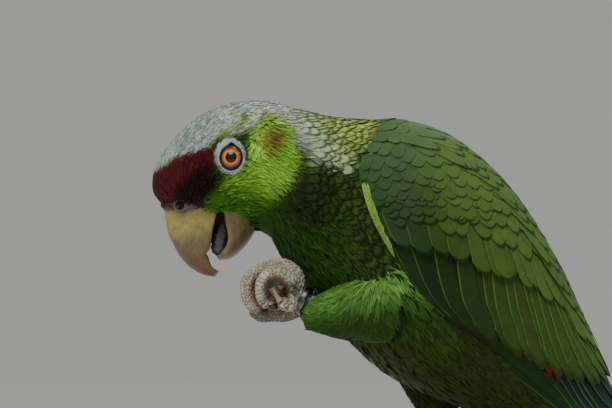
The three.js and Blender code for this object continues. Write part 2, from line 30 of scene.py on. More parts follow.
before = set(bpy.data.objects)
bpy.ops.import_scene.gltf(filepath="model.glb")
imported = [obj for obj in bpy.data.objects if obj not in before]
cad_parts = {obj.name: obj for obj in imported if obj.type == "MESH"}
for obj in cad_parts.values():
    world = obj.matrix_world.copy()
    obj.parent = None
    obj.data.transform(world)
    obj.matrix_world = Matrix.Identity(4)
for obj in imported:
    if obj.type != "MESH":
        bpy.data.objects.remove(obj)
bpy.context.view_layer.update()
print("loaded", len(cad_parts), "nodes")

mm = 0.001
fullTurn = 2 * math.pi
root = "root"
sideSigns = {"left": -1, "right": 1}


def ramp(x, low, high):  # 0 at low, 1 at high, eased between
    t = np.clip((x - low) / (high - low), 0, 1)
    return t * t * (3 - 2 * t)


def mix(first, second, share):  # colours: first where share is 0, second where it is 1
    return first + (second - first) * np.asarray(share, float)[..., None]


# Lays tones over a colour one after another. Each layer is a tone's name and the share it covers.
def layered(tint, tones, *layers):
    for name, share in layers:
        tint = mix(tint, tones[name], share)
    return tint


def unit(v):  # the same directions, each one long
    return v / np.maximum(np.linalg.norm(v, axis=-1, keepdims=True), 1e-9)


def dot(a, b):  # how far b reaches along a, times a's length
    return (a * b).sum(-1)


def grid(first, second):  # every first value with every second one, as rows and columns
    return np.meshgrid(first, second, indexing="ij")


def pathLengths(points):  # the distance along a row of points from the first to each
    return np.append(0, np.cumsum(np.linalg.norm(np.diff(points, axis=0), axis=-1)))


def tone(red, green, blue):  # a colour out of 255, as light
    return (np.array([red, green, blue]) / 255) ** 2.2


# The cubic through four neighbours of each knot, with the ends carried on in a straight line.
def splineAt(knots, s):
    last = len(knots) - 1
    s = np.clip(s, 0, last)
    i = np.minimum(s.astype(int), last - 1)
    u = (s - i)[..., None]
    line = np.vstack([2 * knots[0] - knots[1], knots, 2 * knots[-1] - knots[-2]])
    before, here, after, beyond = (line[i + k] for k in range(4))
    leave, arrive = (after - before) / 2, (beyond - here) / 2
    bend = 3 * (after - here) - 2 * leave - arrive
    twist = 2 * (here - after) + leave + arrive
    return here + leave * u + bend * u ** 2 + twist * u ** 3


# A grid of points (rows, columns) as quads. A wrapped grid joins its last column to its first.
def gridFaces(rows, columns, wrap=False):
    r, c = np.mgrid[0:rows - 1, 0:columns if wrap else columns - 1]
    ahead = (c + 1) % columns
    corners = [r * columns + c, r * columns + ahead, (r + 1) * columns + ahead, (r + 1) * columns + c]
    return np.stack(corners, -1).reshape(-1, 4)


# Adds a middle point to both ends of a wrapped grid and fans them shut.
def closeEnds(points, faces, columns):
    count = len(points)
    first, final = points[:columns].mean(0), points[-columns:].mean(0)
    turn = np.arange(columns)
    ahead = (turn + 1) % columns
    start = np.stack([np.full(columns, count), ahead, turn, turn], -1)
    rim = count - columns
    end = np.stack([np.full(columns, count + 1), rim + turn, rim + ahead, rim + ahead], -1)
    return np.vstack([points, first, final]), np.vstack([faces, start, end])


# Turns a closed surface's faces outwards: its volume is the sum of dot(a, cross(b, c)) / 6.
def outward(points, faces):
    a, b, c, d = (points[faces[:, k]] for k in range(4))
    volume = dot(a, np.cross(b, c)).sum() + dot(a, np.cross(c, d)).sum()
    return faces if volume > 0 else faces[:, [1, 0, 3, 2]]


# Points in millimetres and faces of four corners, where a triangle repeats its last corner.
def makeMesh(name, points, faces):
    mesh = bpy.data.meshes.new(name)
    faces = np.asarray(faces)
    sizes = np.where(faces[:, 2] == faces[:, 3], 3, 4)
    keep = np.arange(4) < sizes[:, None]
    mesh.vertices.add(len(points))
    mesh.vertices.foreach_set("co", (np.asarray(points) * mm).astype(np.float32).ravel())
    mesh.loops.add(int(sizes.sum()))
    mesh.loops.foreach_set("vertex_index", faces[keep].astype(np.int32))
    mesh.polygons.add(len(faces))
    starts = np.concatenate([[0], np.cumsum(sizes)[:-1]])
    mesh.polygons.foreach_set("loop_start", starts.astype(np.int32))
    mesh.update(calc_edges=True)
    mesh.validate()
    mesh.shade_smooth()
    return mesh


# Stores a colour or three plain numbers for each point, for the finishes to read.
def paint(mesh, name, values):
    values = np.asarray(values, np.float32)
    if name in ("tint", "cut"):
        values = np.column_stack([values, np.ones(len(values), np.float32)])
        mesh.attributes.new(name, "FLOAT_COLOR", "POINT").data.foreach_set("color", values.ravel())
    else:
        mesh.attributes.new(name, "FLOAT_VECTOR", "POINT").data.foreach_set("vector", values.ravel())


def pointsOf(mesh):  # a mesh's points in millimetres
    points = np.empty(len(mesh.vertices) * 3, np.float32)
    mesh.vertices.foreach_get("co", points)
    return points.reshape(-1, 3).astype(float) / mm


def newObject(name, data):
    made = bpy.data.objects.new(name, data)
    bpy.context.scene.collection.objects.link(made)
    return made


# Makes a piece of points and faces, with its finish, body and the nodes it stands for. The slot is not used.
def addPiece(name, shape, finish, slot, nodes=(), **stored):
    mesh = makeMesh(name, *shape)
    for key, values in stored.items():
        paint(mesh, key, values)
    mesh.materials.append(finish)
    piece = newObject(name, mesh)
    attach(piece, root)
    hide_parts(*nodes)
    return piece


# Short ways to add nodes to one tree. A value is a number, a colour or another node's socket.
class Net:
    def __init__(self, tree):
        self.tree = tree

    def add(self, kind, values=None, **settings):
        made = self.tree.nodes.new(kind)
        for key, value in settings.items():
            setattr(made, key, value)
        for key, value in (values or {}).items():
            self.put(made.inputs[key], value)
        return made

    def put(self, socket, value):
        if isinstance(value, bpy.types.NodeSocket):
            self.tree.links.new(value, socket)
        else:
            socket.default_value = value

    def maths(self, operation, first, second=0.0, third=0.0):
        made = self.add("ShaderNodeMath", {0: first, 1: second, 2: third}, operation=operation)
        return made.outputs[0]

    def times(self, first, second):
        return self.maths("MULTIPLY", first, second)

    def scaled(self, tint, share):
        return self.add("ShaderNodeVectorMath", {0: tint, 3: share}, operation="SCALE").outputs[0]

    def parts(self, value):  # the three numbers of a vector
        return self.add("ShaderNodeSeparateXYZ", {0: value}).outputs

    def span(self, value, low, high, start=0.0, end=1.0):  # value from low..high to start..end, eased
        made = self.add("ShaderNodeMapRange", {
            "Value": value, "From Min": low, "From Max": high, "To Min": start, "To Max": end,
        }, interpolation_type="SMOOTHSTEP")
        return made.outputs["Result"]

    def blend(self, share, first, second):  # colours: first where share is 0, second where it is 1
        return self.add("ShaderNodeMix", {0: share, 6: first, 7: second}, data_type="RGBA").outputs[2]

    def noise(self, place, scale, detail=3.0, roughness=0.55, distortion=0.0):
        made = self.add("ShaderNodeTexNoise", {"Vector": place, "Scale": scale, "Detail": detail,
                                               "Roughness": roughness, "Distortion": distortion})
        return made.outputs["Fac"]

    def stretch(self, place, scale, turn=(0, 0, 0)):
        made = self.add("ShaderNodeMapping", {"Vector": place, "Scale": scale, "Rotation": turn})
        return made.outputs["Vector"]

    def place(self):
        return self.add("ShaderNodeTexCoord").outputs["Object"]

    def attribute(self, name, kind="Vector"):
        return self.add("ShaderNodeAttribute", attribute_name=name).outputs[kind]

    def bump(self, height, strength, distance):
        made = self.add("ShaderNodeBump", {"Height": height, "Strength": strength, "Distance": distance})
        return made.outputs["Normal"]

    def use(self, group, **values):
        return self.add("ShaderNodeGroup", values, node_tree=group).outputs


# A node group, with the kind of each input by its name.
def newGroup(name, **inputs):
    tree = bpy.data.node_groups.new(name, "ShaderNodeTree")
    outputs = {"Color": "Color", "Height": "Float", "Roughness": "Float"}
    for way, sockets in (("INPUT", inputs), ("OUTPUT", outputs)):
        for label, kind in sockets.items():
            tree.interface.new_socket(label, in_out=way, socket_type="NodeSocket" + kind)
    net = Net(tree)
    return net, net.add("NodeGroupInput").outputs, net.add("NodeGroupOutput").inputs


# A new material with fixed values, the helper for its nodes and its surface's inputs.
def newFinish(name, **values):
    finish = bpy.data.materials.new(name)
    finish.use_nodes = True
    net = Net(finish.node_tree)
    surface = finish.node_tree.nodes["Principled BSDF"]
    for key, value in values.items():
        surface.inputs[key].default_value = value
    return finish, net, surface.inputs


# Sends a colour, a roughness and the bump of a height to a surface's inputs.
def dress(net, surface, tint, roughness, height, strength, distance):
    net.put(surface["Base Color"], tint)
    net.put(surface["Roughness"], roughness)
    net.put(surface["Normal"], net.bump(height, strength, distance))


# Each station is back line x, z, belly line x, z, half width.
bodyStations = np.array([
    [-92.5, 217.1, -71.8, 216.1, 8.9],
    [-95.6, 221.9, -65.5, 212.6, 11.3],
    [-95.2, 228.8, -60.0, 209.2, 13.6],
    [-90.4, 237.5, -57.6, 207.8, 15.9],
    [-81.8, 246.4, -56.2, 206.8, 17.8],
    [-69.7, 252.0, -55.2, 206.1, 19.0],
    [-57.3, 253.2, -53.8, 204.0, 19.6],
    [-44.8, 250.2, -50.7, 198.5, 21.0],
    [-32.8, 247.6, -46.9, 192.3, 25.0],
    [-21.4, 246.8, -42.1, 185.4, 30.0],
    [-9.3, 246.1, -35.2, 177.4, 34.5],
    [6.9, 238.8, -26.9, 168.8, 37.0],
    [21.7, 225.1, -16.6, 159.5, 37.5],
    [33.8, 207.1, -3.4, 152.3, 35.0],
    [44.2, 187.1, 12.1, 146.7, 29.5],
    [52.8, 169.8, 26.9, 142.2, 22.0],
    [60.0, 155.4, 40.4, 137.4, 15.0],
    [66.2, 144.3, 52.4, 131.9, 10.5],
])
rumpStations = np.array([
    [66.2, 144.3, 52.4, 131.9, 10.5],
    [74.2, 125.6, 62.6, 117.6, 11.4],
    [85.6, 103.6, 77.2, 98.3, 11.6],
    [95.6, 84.7, 91.4, 82.1, 10.8],
    [103.0, 71.8, 101.4, 70.8, 8.0],
])
tailEnd = np.array([
    [76.1, 126.8, 64.7, 119.8, 16.0],
    [88.2, 105.2, 78.7, 99.3, 15.5],
    [98.6, 86.6, 90.5, 81.6, 14.5],
])
wingStations = np.vstack([bodyStations, tailEnd])
wingStations[15:18, 4] = [23.0, 18.5, 17.0]  # the folded wings stand off the flanks


# An oval through each station: middle + depth cos(angle) + width sin(angle), 0 on the back.
def ovalPoint(stations, s, angle):
    row = splineAt(stations, s)
    turn = np.radians(angle)
    back, belly = row[..., 0:2], row[..., 2:4]
    flat = (back + belly) / 2 + (back - belly) / 2 * np.cos(turn)[..., None]
    return np.stack([flat[..., 0], row[..., 4] * np.sin(turn), flat[..., 1]], -1)


# The same, lifted along the surface's outward normal.
def loftPoint(stations, s, angle, lift=0.0):
    s, angle, lift = np.broadcast_arrays(*(np.asarray(v, float) for v in (s, angle, lift)))
    here = ovalPoint(stations, s, angle)
    ahead, behind = np.minimum(s + 0.01, len(stations) - 1), np.maximum(s - 0.01, 0)
    along = ovalPoint(stations, ahead, angle) - ovalPoint(stations, behind, angle)
    around = ovalPoint(stations, s, angle + 0.5) - ovalPoint(stations, s, angle - 0.5)
    normal = unit(np.cross(along, around))
    middle = (ovalPoint(stations, s, angle * 0) + ovalPoint(stations, s, angle * 0 + 180)) / 2
    facing = np.sign(dot(normal, here - middle))
    return here + normal * (facing * lift)[..., None]


def bodySurface(s, angle, lift=0.0):
    return loftPoint(bodyStations, s, angle, lift)


# The body angle of the folded wings' lower edge, and where their borders stand in s at the top.
wingForm = {"lowerEdge": 107.0, "front": 9.3, "frontCorner": 106.0, "frontTurns": 57.0,
            "coverts": 14.6, "covertsDrop": 3.6, "secondaries": 16.0, "secondariesDrop": 3.05}


# Wing angle 0 is the upper edge, which closes over the back as exp(-s / 3.6), and 107 the lower edge.
def wingSurface(side):
    def surface(s, angle, lift=0.0):
        upper = 5 + 19 * np.exp((10 - s) / 3.6)
        lower = wingForm["lowerEdge"] - 14 * np.maximum(0, s - 16.5)
        bodyAngle = upper + angle / wingForm["lowerEdge"] * (lower - upper)
        return loftPoint(wingStations, s, side * bodyAngle, lift)
    return surface


# The front border moves back as minus the logarithm of the angle that is left to its lower corner.
def frontOf(angle):
    left = np.clip(wingForm["frontCorner"] - angle, 1, wingForm["frontTurns"])
    return wingForm["front"] - np.log(left / wingForm["frontTurns"])


def covertsEnd(angle):  # forward with the angle's power 2.2
    return wingForm["coverts"] - wingForm["covertsDrop"] * (angle / 88) ** 2.2


def secondariesEnd(angle):  # forward with the angle's fifth power
    return wingForm["secondaries"] - wingForm["secondariesDrop"] * (angle / 99) ** 5


# A smooth path through points of x, y, z, radius, at t from 0 to 1.
def pathAt(path, t):
    return splineAt(np.asarray(path, float), np.asarray(t, float) * (len(path) - 1))


# A round limb: t runs along its path, and the angle runs round it from the side away from the hub.
def limbSurface(path, hub):
    hub = np.asarray(hub, float)

    def surface(t, angle, lift=0.0):
        t, angle, lift = np.broadcast_arrays(*(np.asarray(v, float) for v in (t, angle, lift)))
        row = pathAt(path, np.clip(t, 0, 1))
        after, before = (pathAt(path, np.clip(t + step, 0, 1)) for step in (0.02, -0.02))
        ahead = unit(unit(after - before)[..., :3])
        centre = row[..., :3]
        out = centre - hub
        out = unit(out - dot(out, ahead)[..., None] * ahead)
        beside = np.cross(ahead, out)
        turn = np.radians(angle)[..., None]
        ray = out * np.cos(turn) + beside * np.sin(turn)
        return centre + ray * (row[..., 3] + lift)[..., None]
    return surface


print("forms ready")


# Colours of the plumage as they look in daylight, out of 255.
plumage = {
    "lilac": tone(176, 192, 182),
    "lilacBlue": tone(130, 144, 152),
    "olive": tone(128, 146, 62),
    "maroon": tone(84, 24, 30),
    "lores": tone(20, 10, 11),
    "cheek": tone(130, 178, 64),
    "cheekLow": tone(62, 110, 22),
    "ear": tone(112, 78, 34),
    "nape": tone(140, 158, 76),
    "throat": tone(44, 74, 20),
    "shadow": tone(32, 40, 22),
    "breast": tone(50, 72, 26),
    # belly: its own olive green, darkened further as painted shade
    "belly": tone(50, 60, 20),
    "mantle": tone(70, 98, 38),
    "thigh": tone(90, 138, 60),
    # thighLow: the thigh's green in painted shade
    "thighLow": tone(44, 70, 22),
    "rump": tone(90, 130, 44),
}


# The share of each point inside an outline in the side view, eased over the given width.
def inside(points, outline, soft):
    flat = np.asarray(points)[..., [0, 2]]
    start = np.asarray(outline, float)
    end = np.roll(start, -1, axis=0)
    nearest = np.full(flat.shape[:-1], 1e9)
    crossings = np.zeros(flat.shape[:-1], int)
    for a, b in zip(start, end):
        edge = b - a
        t = np.clip(((flat - a) @ edge) / (edge @ edge), 0, 1)
        nearest = np.minimum(nearest, np.linalg.norm(flat - a - t[..., None] * edge, axis=-1))
        spans = (a[1] > flat[..., 1]) != (b[1] > flat[..., 1])
        reach = a[0] + (flat[..., 1] - a[1]) * edge[0] / (edge[1] if edge[1] else 1e-9)
        crossings += spans & (flat[..., 0] < reach)
    signed = np.where(crossings % 2 == 1, nearest, -nearest)
    return ramp(signed, -soft / 2, soft / 2)


# Outlines of the head's markings in the side view, x and z.
markingOutlines = {
    "maroon": [
        [-99, 215], [-99, 226], [-94.5, 229.4], [-89.4, 232.4], [-82.9, 235.1], [-76.3, 237],
        [-74.2, 234], [-74.3, 229.5], [-72.5, 226.6], [-77, 221.5], [-84, 215], [-92, 213],
    ],
    "lores": [
        [-89, 216.5], [-88, 222.5], [-84, 227], [-78, 231], [-73.8, 231], [-69.5, 225.4],
        [-75, 221], [-79, 216],
    ],
    "cheek": [
        [-77.5, 220], [-70.5, 226.6], [-64.5, 229], [-62.3, 233], [-62.2, 239], [-60.5, 245],
        [-56.5, 248], [-51, 247.5], [-47, 243.5], [-44.7, 237.5], [-43.5, 232], [-44.5, 226.5],
        [-50, 219.5], [-58, 214], [-66, 210], [-77, 211],
    ],
    "ear": [[-57, 238], [-54, 242.6], [-50, 243], [-48.2, 239.5], [-50, 235], [-55, 234.6]],
    "brow": [[-74, 238], [-73, 242.5], [-66, 244.5], [-60, 243], [-61, 239], [-66, 241.5]],
    "mottle": [[-68, 243], [-66, 249], [-57, 250.5], [-53, 248], [-58, 245], [-62, 242]],
    "lilac": [
        [-100, 224], [-89, 232.6], [-76.5, 236.5], [-74, 240], [-66, 241.5], [-61.5, 243], [-57, 249],
        [-51, 248.5], [-46, 243.5], [-43.5, 237], [-40, 233.5], [-30, 228.5], [-27, 231], [-29, 236.5],
        [-35, 243.5], [-42, 249], [-51, 257], [-80, 257], [-104, 244],
    ],
    "flank": [[-27, 190], [-16, 200], [-8, 195], [2, 181], [8, 172], [-2, 168], [-14, 172], [-28, 178]],
    "shadow": [[-44, 229.5], [-35, 226], [-32, 219], [-37, 210], [-44, 208], [-50, 214], [-48, 221]],
}


# A mottle about 4 mm across: the product of two slanted sines, and half of a third.
def flecks(points):
    x, y, z = (points[..., k] for k in range(3))
    return np.sin(1.5 * x + 0.7 * z + 1) * np.sin(1.3 * z - 0.6 * x) + 0.5 * np.sin(1.1 * y + 0.9 * x - z)


# Every marking of the bird's plumage at points in millimetres. Skin and coat both read it.
def markings(points):
    x, y, z = (points[..., k] for k in range(3))
    across = np.abs(y)
    wave = flecks(points)

    def within(name, soft):
        return inside(points, markingOutlines[name], soft)
    # The belly's tone is partly its own colour and partly painted shade.
    low = ramp(z - 0.35 * x, 205, 180)  # 1 on the belly
    tint = layered(
        np.broadcast_to(plumage["mantle"], points.shape), plumage,
        ("breast", ramp(z + 0.9 * x, 226, 205)),
        ("belly", low * ramp(x, -36, -12)),
        ("rump", ramp(x + 0.2 * z, 80, 92)),
        ("throat", ramp(x, -26, -36) * ramp(z, 226, 214)),
        ("nape", ramp(z + 0.35 * x, 224, 231) * ramp(x, -14, -22)))
    lilac = layered(
        plumage["lilac"] + 0 * points, plumage,
        ("lilacBlue", ramp(wave, 0.1, 0.9) * 0.7),
        ("nape", 0.45 * ramp(x, -52, -36) + 0.4 * ramp(0.67 * x + 0.74 * z, 148, 155)),
        ("olive", within("mottle", 4.0) * ramp(wave, -0.2, 0.5)),
        ("olive", 0.9 * within("brow", 2.0) * ramp(-wave, -0.5, 0.3)))
    cheek = layered(
        plumage["cheek"] + 0 * points, plumage,
        ("cheekLow", ramp(z + 0.35 * x, 206, 196)),
        ("throat", ramp(z - 0.1 * x, 222, 215)))
    tint = mix(mix(tint, lilac, within("lilac", 3.0)), cheek, within("cheek", 2.5))
    return layered(
        tint, plumage,
        ("ear", 0.8 * within("ear", 4.0)),
        ("shadow", 0.75 * within("shadow", 6.0) * ramp(across, 12, 18)),
        ("maroon", within("maroon", 2.2)),
        ("lores", 0.92 * within("lores", 4.5) * ramp(across, 6, 11)))


print("markings ready")


# Roots in staggered rows along s. Where rows crowd together, every second or fourth is kept.
def rowsOver(surface, start, stop, low, high, spacing, rng):
    fine = np.linspace(low, high, 241)
    found, s, row = [], start, 0
    while s < stop:
        here = surface(s, fine)
        speed = np.linalg.norm(surface(s + 0.02, fine) - here, axis=-1) / 0.02
        length = pathLengths(here)
        columns = np.arange(max(1, round(length[-1] / spacing)))
        pitch = length[-1] / len(columns)
        crowding = speed.max() / np.maximum(speed, 1e-6)
        crowding = np.interp((columns + 0.5) * pitch, length, crowding)
        every = 2 ** np.maximum(0, np.round(np.log2(crowding))).astype(int)
        shifted = columns + 0.25 + 0.5 * (row // every % 2) + rng.uniform(-0.18, 0.18, len(columns))
        angle = np.interp(shifted * pitch, length, fine)
        step = 0.87 * spacing / speed.max()
        nudge = rng.uniform(-0.2, 0.2, len(columns)) * step * every
        found.append(np.stack([s + nudge, angle], -1)[row % every == 0])
        s, row = s + step, row + 1
    return np.concatenate(found).T


# How a surface's two parameters change for a millimetre ahead and a millimetre to the side.
def tangentSteps(surface, s, angle, heading, lean):
    ds, da = 0.02, 1.0
    normal = unit(surface(s, angle, 1.0) - surface(s, angle, 0.0))
    alongS = (surface(s + ds, angle) - surface(s - ds, angle)) / (2 * ds)
    alongA = (surface(s, angle + da) - surface(s, angle - da)) / (2 * da)
    wanted = alongS if heading is None else heading(surface(s, angle), alongS, angle)
    ahead = unit(wanted - dot(wanted, normal)[..., None] * normal)
    ahead = ahead * np.cos(lean)[..., None] + np.cross(normal, ahead) * np.sin(lean)[..., None]
    aside = np.cross(ahead, normal)
    ss, sa, aa = dot(alongS, alongS), dot(alongS, alongA), dot(alongA, alongA)
    spread = np.maximum(ss * aa - sa * sa, 1e-9)

    def steps(direction):
        ps, pa = dot(direction, alongS), dot(direction, alongA)
        return np.stack([(ps * aa - pa * sa) / spread, (pa * ss - ps * sa) / spread], -1)
    return steps(ahead), steps(aside)


# Follows the lie of the coat backwards from a feather's tip to its root, but not past the border.
def rootsOf(surface, s, angle, heading, length, border=None, steps=24):
    still, moved = np.zeros(len(s)), np.zeros(len(s))
    moving = np.ones(len(s), bool)
    for _ in range(steps):
        ahead, _ = tangentSteps(surface, s, angle, heading, still)
        nextS, nextAngle = s - ahead[:, 0] * length / steps, angle - ahead[:, 1] * length / steps
        if border is not None:
            moving = moving & (nextS > border(nextAngle))
        s, angle = np.where(moving, nextS, s), np.where(moving, nextAngle, angle)
        moved = moved + moving
    return s, angle, length * np.maximum(moved / steps, 0.2)


# What a vane has where its look says nothing else. Lengths and lifts are in millimetres, and vary,
# unruly, sway and mottle are how far length, heading, tip and colour stray.
vaneDefaults = {
    "length": 8, "width": 6, "fray": 0, "rootLift": -2, "tipLift": 0, "camber": 0.05, "rounding": 0.35,
    "ruffle": 0.6, "narrow": 0.3, "tipDark": 0.3, "edgeLight": 0, "shaft": 0.2, "ridge": 0, "pointed": 0,
    "waist": 0.35, "tilt": 0, "vary": 0.11, "unruly": 0.06, "sway": 0.05, "mottle": 0.1,
}
borderLimit = 103.5  # the wing angle that no vane with a border passes
patchSize = 0.003  # a vane's own patch on the unwrapped map


# How far to the side, behind and up the edges of every vane lie at the share v of its length.
def vaneEdges(value, v, u, middle, strand):
    length, width, fray = value["length"], value["width"], value["fray"]
    girth = (value["waist"] + (1 - value["waist"]) * ramp(v, 0, 0.5)) * (1 - value["narrow"] * v ** 3)
    girth = girth * (1 - value["pointed"] * ramp(v, 0.72, 1.0) ** 1.5)
    spread = middle + (u - middle) * (1 - fray * 0.75 * ramp(v, 0.35, 1.0))
    offset = width / 2 * girth * spread
    offset = offset + value["sway"] * v * v + fray * strand * (length * 0.07 * v * v)
    short = value["rounding"] * np.abs(spread) ** 2.2 + fray * 0.12 * (1 + strand)
    behind = -(length * v) * short
    rise = value["rootLift"] + (value["tipLift"] - value["rootLift"]) * v ** 0.8
    rise = rise - value["camber"] * width * spread ** 2 * min(1.0, 2 * v)
    rise = rise + fray * strand * value["ruffle"] * v
    rise = rise + value["tilt"] * spread
    rise = rise + value["ridge"] * np.exp(-(spread / 0.09) ** 2) * (1 - v)
    return offset, behind, rise


# Lays one vane for each root. A vane is a fan of strips from root to tip: they share their
# edges where fray is 0 and part into strands where it is 1.
def layVanes(surface, s, angle, look, tintAt, seed):
    rng = np.random.default_rng(seed)
    count, strips, rows = len(s), look["strips"], look["rows"]
    look = {**vaneDefaults, **look}
    value = {key: np.broadcast_to(np.asarray(look[key], float), count) for key in vaneDefaults}
    length = value["length"] * rng.uniform(1 - look["vary"], 1 + look["vary"], count)
    width = value["width"] * rng.uniform(0.9, 1.1, count)
    lean = rng.normal(0, look["unruly"], count)
    sway = rng.normal(0, look["sway"], count) * length
    edges = np.asarray(look.get("columns", np.linspace(-1, 1, strips + 1)), float)
    u = edges[None] if "columns" in look else np.stack([edges[:-1], edges[1:]], -1)
    strips, wide = u.shape
    strand = rng.uniform(-1, 1, (count, strips, 1))
    value = {**value, "length": length, "width": width, "sway": sway}
    each = {key: numbers[:, None, None] for key, numbers in value.items()}
    along = 1 - (1 - np.linspace(0, 1, rows + 1)) ** 1.35
    points = np.empty((count, strips, rows + 1, wide, 3))
    vane = np.empty_like(points)
    rootS, rootAngle, tint = s, angle, None
    for row, v in enumerate(along):
        ahead, aside = tangentSteps(surface, s, angle, look.get("heading"), lean)
        offset, behind, rise = vaneEdges(each, v, u, u.mean(1)[:, None], strand)
        here = np.stack([s, angle], -1)[:, None, None]
        here = here + behind[..., None] * ahead[:, None, None] + offset[..., None] * aside[:, None, None]
        if "border" in look:
            here[..., 1] = np.minimum(here[..., 1], borderLimit)
            here[..., 0] = np.maximum(here[..., 0], look["border"](here[..., 1]))
        points[:, :, row] = surface(here[..., 0], here[..., 1], rise)
        vane[:, :, row, :, 0] = u
        vane[:, :, row, :, 1] = v
        vane[:, :, row, :, 2] = each["length"] * v + behind - 0.8 * np.abs(offset)
        if tint is None and v >= 0.6:
            tint = tintAt(surface(s, angle))
        if row < rows:
            step = (along[row + 1] - v) * length
            s, angle = s + ahead[:, 0] * step, angle + ahead[:, 1] * step
    bright = 1 + rng.normal(0, look["mottle"], (count, 1))
    tint = np.clip(tint * bright * (1 + rng.normal(0, 0.03, (count, 3))), 0, 1)
    strandTint = tint[:, None] * (1 + each["fray"] * 0.25 * strand)
    trim = np.stack([value["tipDark"], value["edgeLight"], value["shaft"]], -1)
    size = (rows + 1) * wide
    faces = (gridFaces(rows + 1, wide)[None] + np.arange(strips)[:, None, None] * size).reshape(-1, 4)
    starts = np.arange(count)[:, None, None] * size * strips
    shape = points.shape[:-1]
    low, high = look["unwrap"]
    place = (np.stack([rootS, rootAngle], -1) - low) / (np.asarray(high) - low)
    patch = np.stack([vane[..., 0] / 2, vane[..., 1] - 0.5], -1) * patchSize
    return {
        "points": points.reshape(-1, 3),
        "faces": (faces[None] + starts).reshape(-1, 4),
        "tint": np.broadcast_to(strandTint[:, :, None, None], (*shape, 3)).reshape(-1, 3),
        "vane": vane.reshape(-1, 3),
        "trim": np.broadcast_to(trim[:, None, None, None], (*shape, 3)).reshape(-1, 3),
        "patch": (np.clip(place, 0.004, 0.996)[:, None, None, None] + patch).reshape(-1, 2),
    }


# Joins lots of vanes into one piece of coat.
def addCoat(name, lots, finish, slot, nodes=()):
    starts = np.cumsum([0] + [len(lot["points"]) for lot in lots])
    faces = np.concatenate([lot["faces"] + start for lot, start in zip(lots, starts)])
    joined = {key: np.concatenate([lot[key] for lot in lots]) for key in lots[0] if key != "faces"}
    stored = {key: joined[key] for key in ("tint", "vane", "trim")}
    piece = addPiece(name, (joined["points"], faces), finish, slot, nodes, **stored)
    corner = np.empty(len(piece.data.loops), np.int32)
    piece.data.loops.foreach_get("vertex_index", corner)
    unwrap = piece.data.uv_layers.new(name="OFBake")
    unwrap.data.foreach_set("uv", joined["patch"][corner].astype(np.float32).ravel())
    print(name, len(faces) * 2, "triangles")
    return piece


print("feather tools ready")


# The pattern of one vane: barbs, a shaft, a dark rim at the tip and a pale outer edge. A tipDark
# under 0 means a fine dark line at the tip in place of the broad rim: partly the feather's dark edge, partly
# painted shadow under its tip.
def makeVanePattern():
    net, into, out = newGroup("vanePattern", Tint="Color", Vane="Vector", Trim="Vector", Place="Vector",
                              Barbs="Float")
    vane = net.parts(into["Vane"])
    trim = net.parts(into["Trim"])
    across = net.maths("ABSOLUTE", vane[0])
    fine = net.maths("LESS_THAN", trim[0], 0.0)
    tip = net.span(vane[1], 0.8, 0.97)
    border = net.times(net.span(across, 0.72, 1.0), net.span(vane[1], 0.35, 0.8, 0, 0.6))
    broadRim = net.maths("MAXIMUM", tip, border)
    broadRim = net.times(broadRim, net.maths("SUBTRACT", 1.0, fine))
    # The fine line: a dark edge with painted shadow under the tip.
    fineRim = net.times(net.span(vane[1], 0.93, 0.965), net.span(across, 0.85, 0.5))
    fineRim = net.times(fineRim, fine)
    rim = net.times(net.maths("ADD", broadRim, fineRim), net.maths("ABSOLUTE", trim[0]))
    streakPlace = net.add("ShaderNodeCombineXYZ", {0: vane[2], 1: vane[0]}).outputs[0]
    barbs = net.noise(net.stretch(streakPlace, (1.6, 0.5, 1)), 1.0, 2.0, 0.6)
    mottle = net.noise(into["Place"], 160, 3, 0.6)
    shade = net.maths("MULTIPLY_ADD", net.maths("SUBTRACT", barbs, 0.5), into["Barbs"], 1.0)
    shade = net.times(shade, net.span(mottle, 0.2, 0.8, 0.88, 1.12))
    shade = net.times(shade, net.maths("SUBTRACT", 1.0, rim))
    spine = net.times(net.span(across, 0.02, 0.09, 1, 0), net.span(vane[1], 0.9, 0.5))
    spine = net.times(spine, trim[2])
    shade = net.times(shade, net.maths("SUBTRACT", 1.0, spine))
    base = net.scaled(into["Tint"], shade)
    outer = net.times(vane[0], net.maths("SIGN", trim[1]))
    pale = net.times(net.span(outer, 0.91, 0.97), net.maths("ABSOLUTE", trim[1]))
    net.put(out["Color"], net.blend(pale, base, (0.15, 0.25, 0.06, 1)))
    net.put(out["Height"], net.maths("ADD", barbs, net.times(spine, 0.6)))
    net.put(out["Roughness"], net.span(barbs, 0.2, 0.8, 0.5, 0.72))
    return net.tree


vanePattern = makeVanePattern()


def featherFinish(name, barbs, sheen, bumpStrength):
    values = {"Sheen Weight": sheen, "Sheen Roughness": 0.4, "Specular IOR Level": 0.1}
    finish, net, surface = newFinish(name, **values)
    made = net.use(vanePattern, Tint=net.attribute("tint", "Color"), Vane=net.attribute("vane"),
                      Trim=net.attribute("trim"), Place=net.place(), Barbs=barbs)
    dress(net, surface, made["Color"], made["Roughness"], made["Height"], bumpStrength, 0.0002)
    return finish


bodyFeather = featherFinish("bodyFeather", 0.5, 0.04, 0.5)
faceFeather = featherFinish("faceFeather", 0.7, 0.1, 0.5)
flightFeather = featherFinish("flightFeather", 0.4, 0.02, 0.4)


# Bare skin: the colour of each point, darker and lighter with a fine grain that also bumps it.
def skinFinish():
    finish, net, surface = newFinish("birdSkin")
    grain = net.noise(net.place(), 700, 4, 0.6)
    tint = net.scaled(net.attribute("tint", "Color"), net.span(grain, 0.25, 0.75, 0.8, 1.2))
    dress(net, surface, tint, net.span(grain, 0.2, 0.8, 0.55, 0.8), grain, 0.4, 0.0003)
    return finish


birdSkin = skinFinish()


wholeBody = ((0, -180), (17, 180))  # s and angle at the map's two corners
bareEye = {"x": -70.1, "z": 233.1, "wide": 5.3, "tall": 6.8}  # the oval that feathers keep clear of
nearEye = {"x": -68.6, "z": 233.5, "far": 11, "near": 6}  # feathers are smaller from far to near


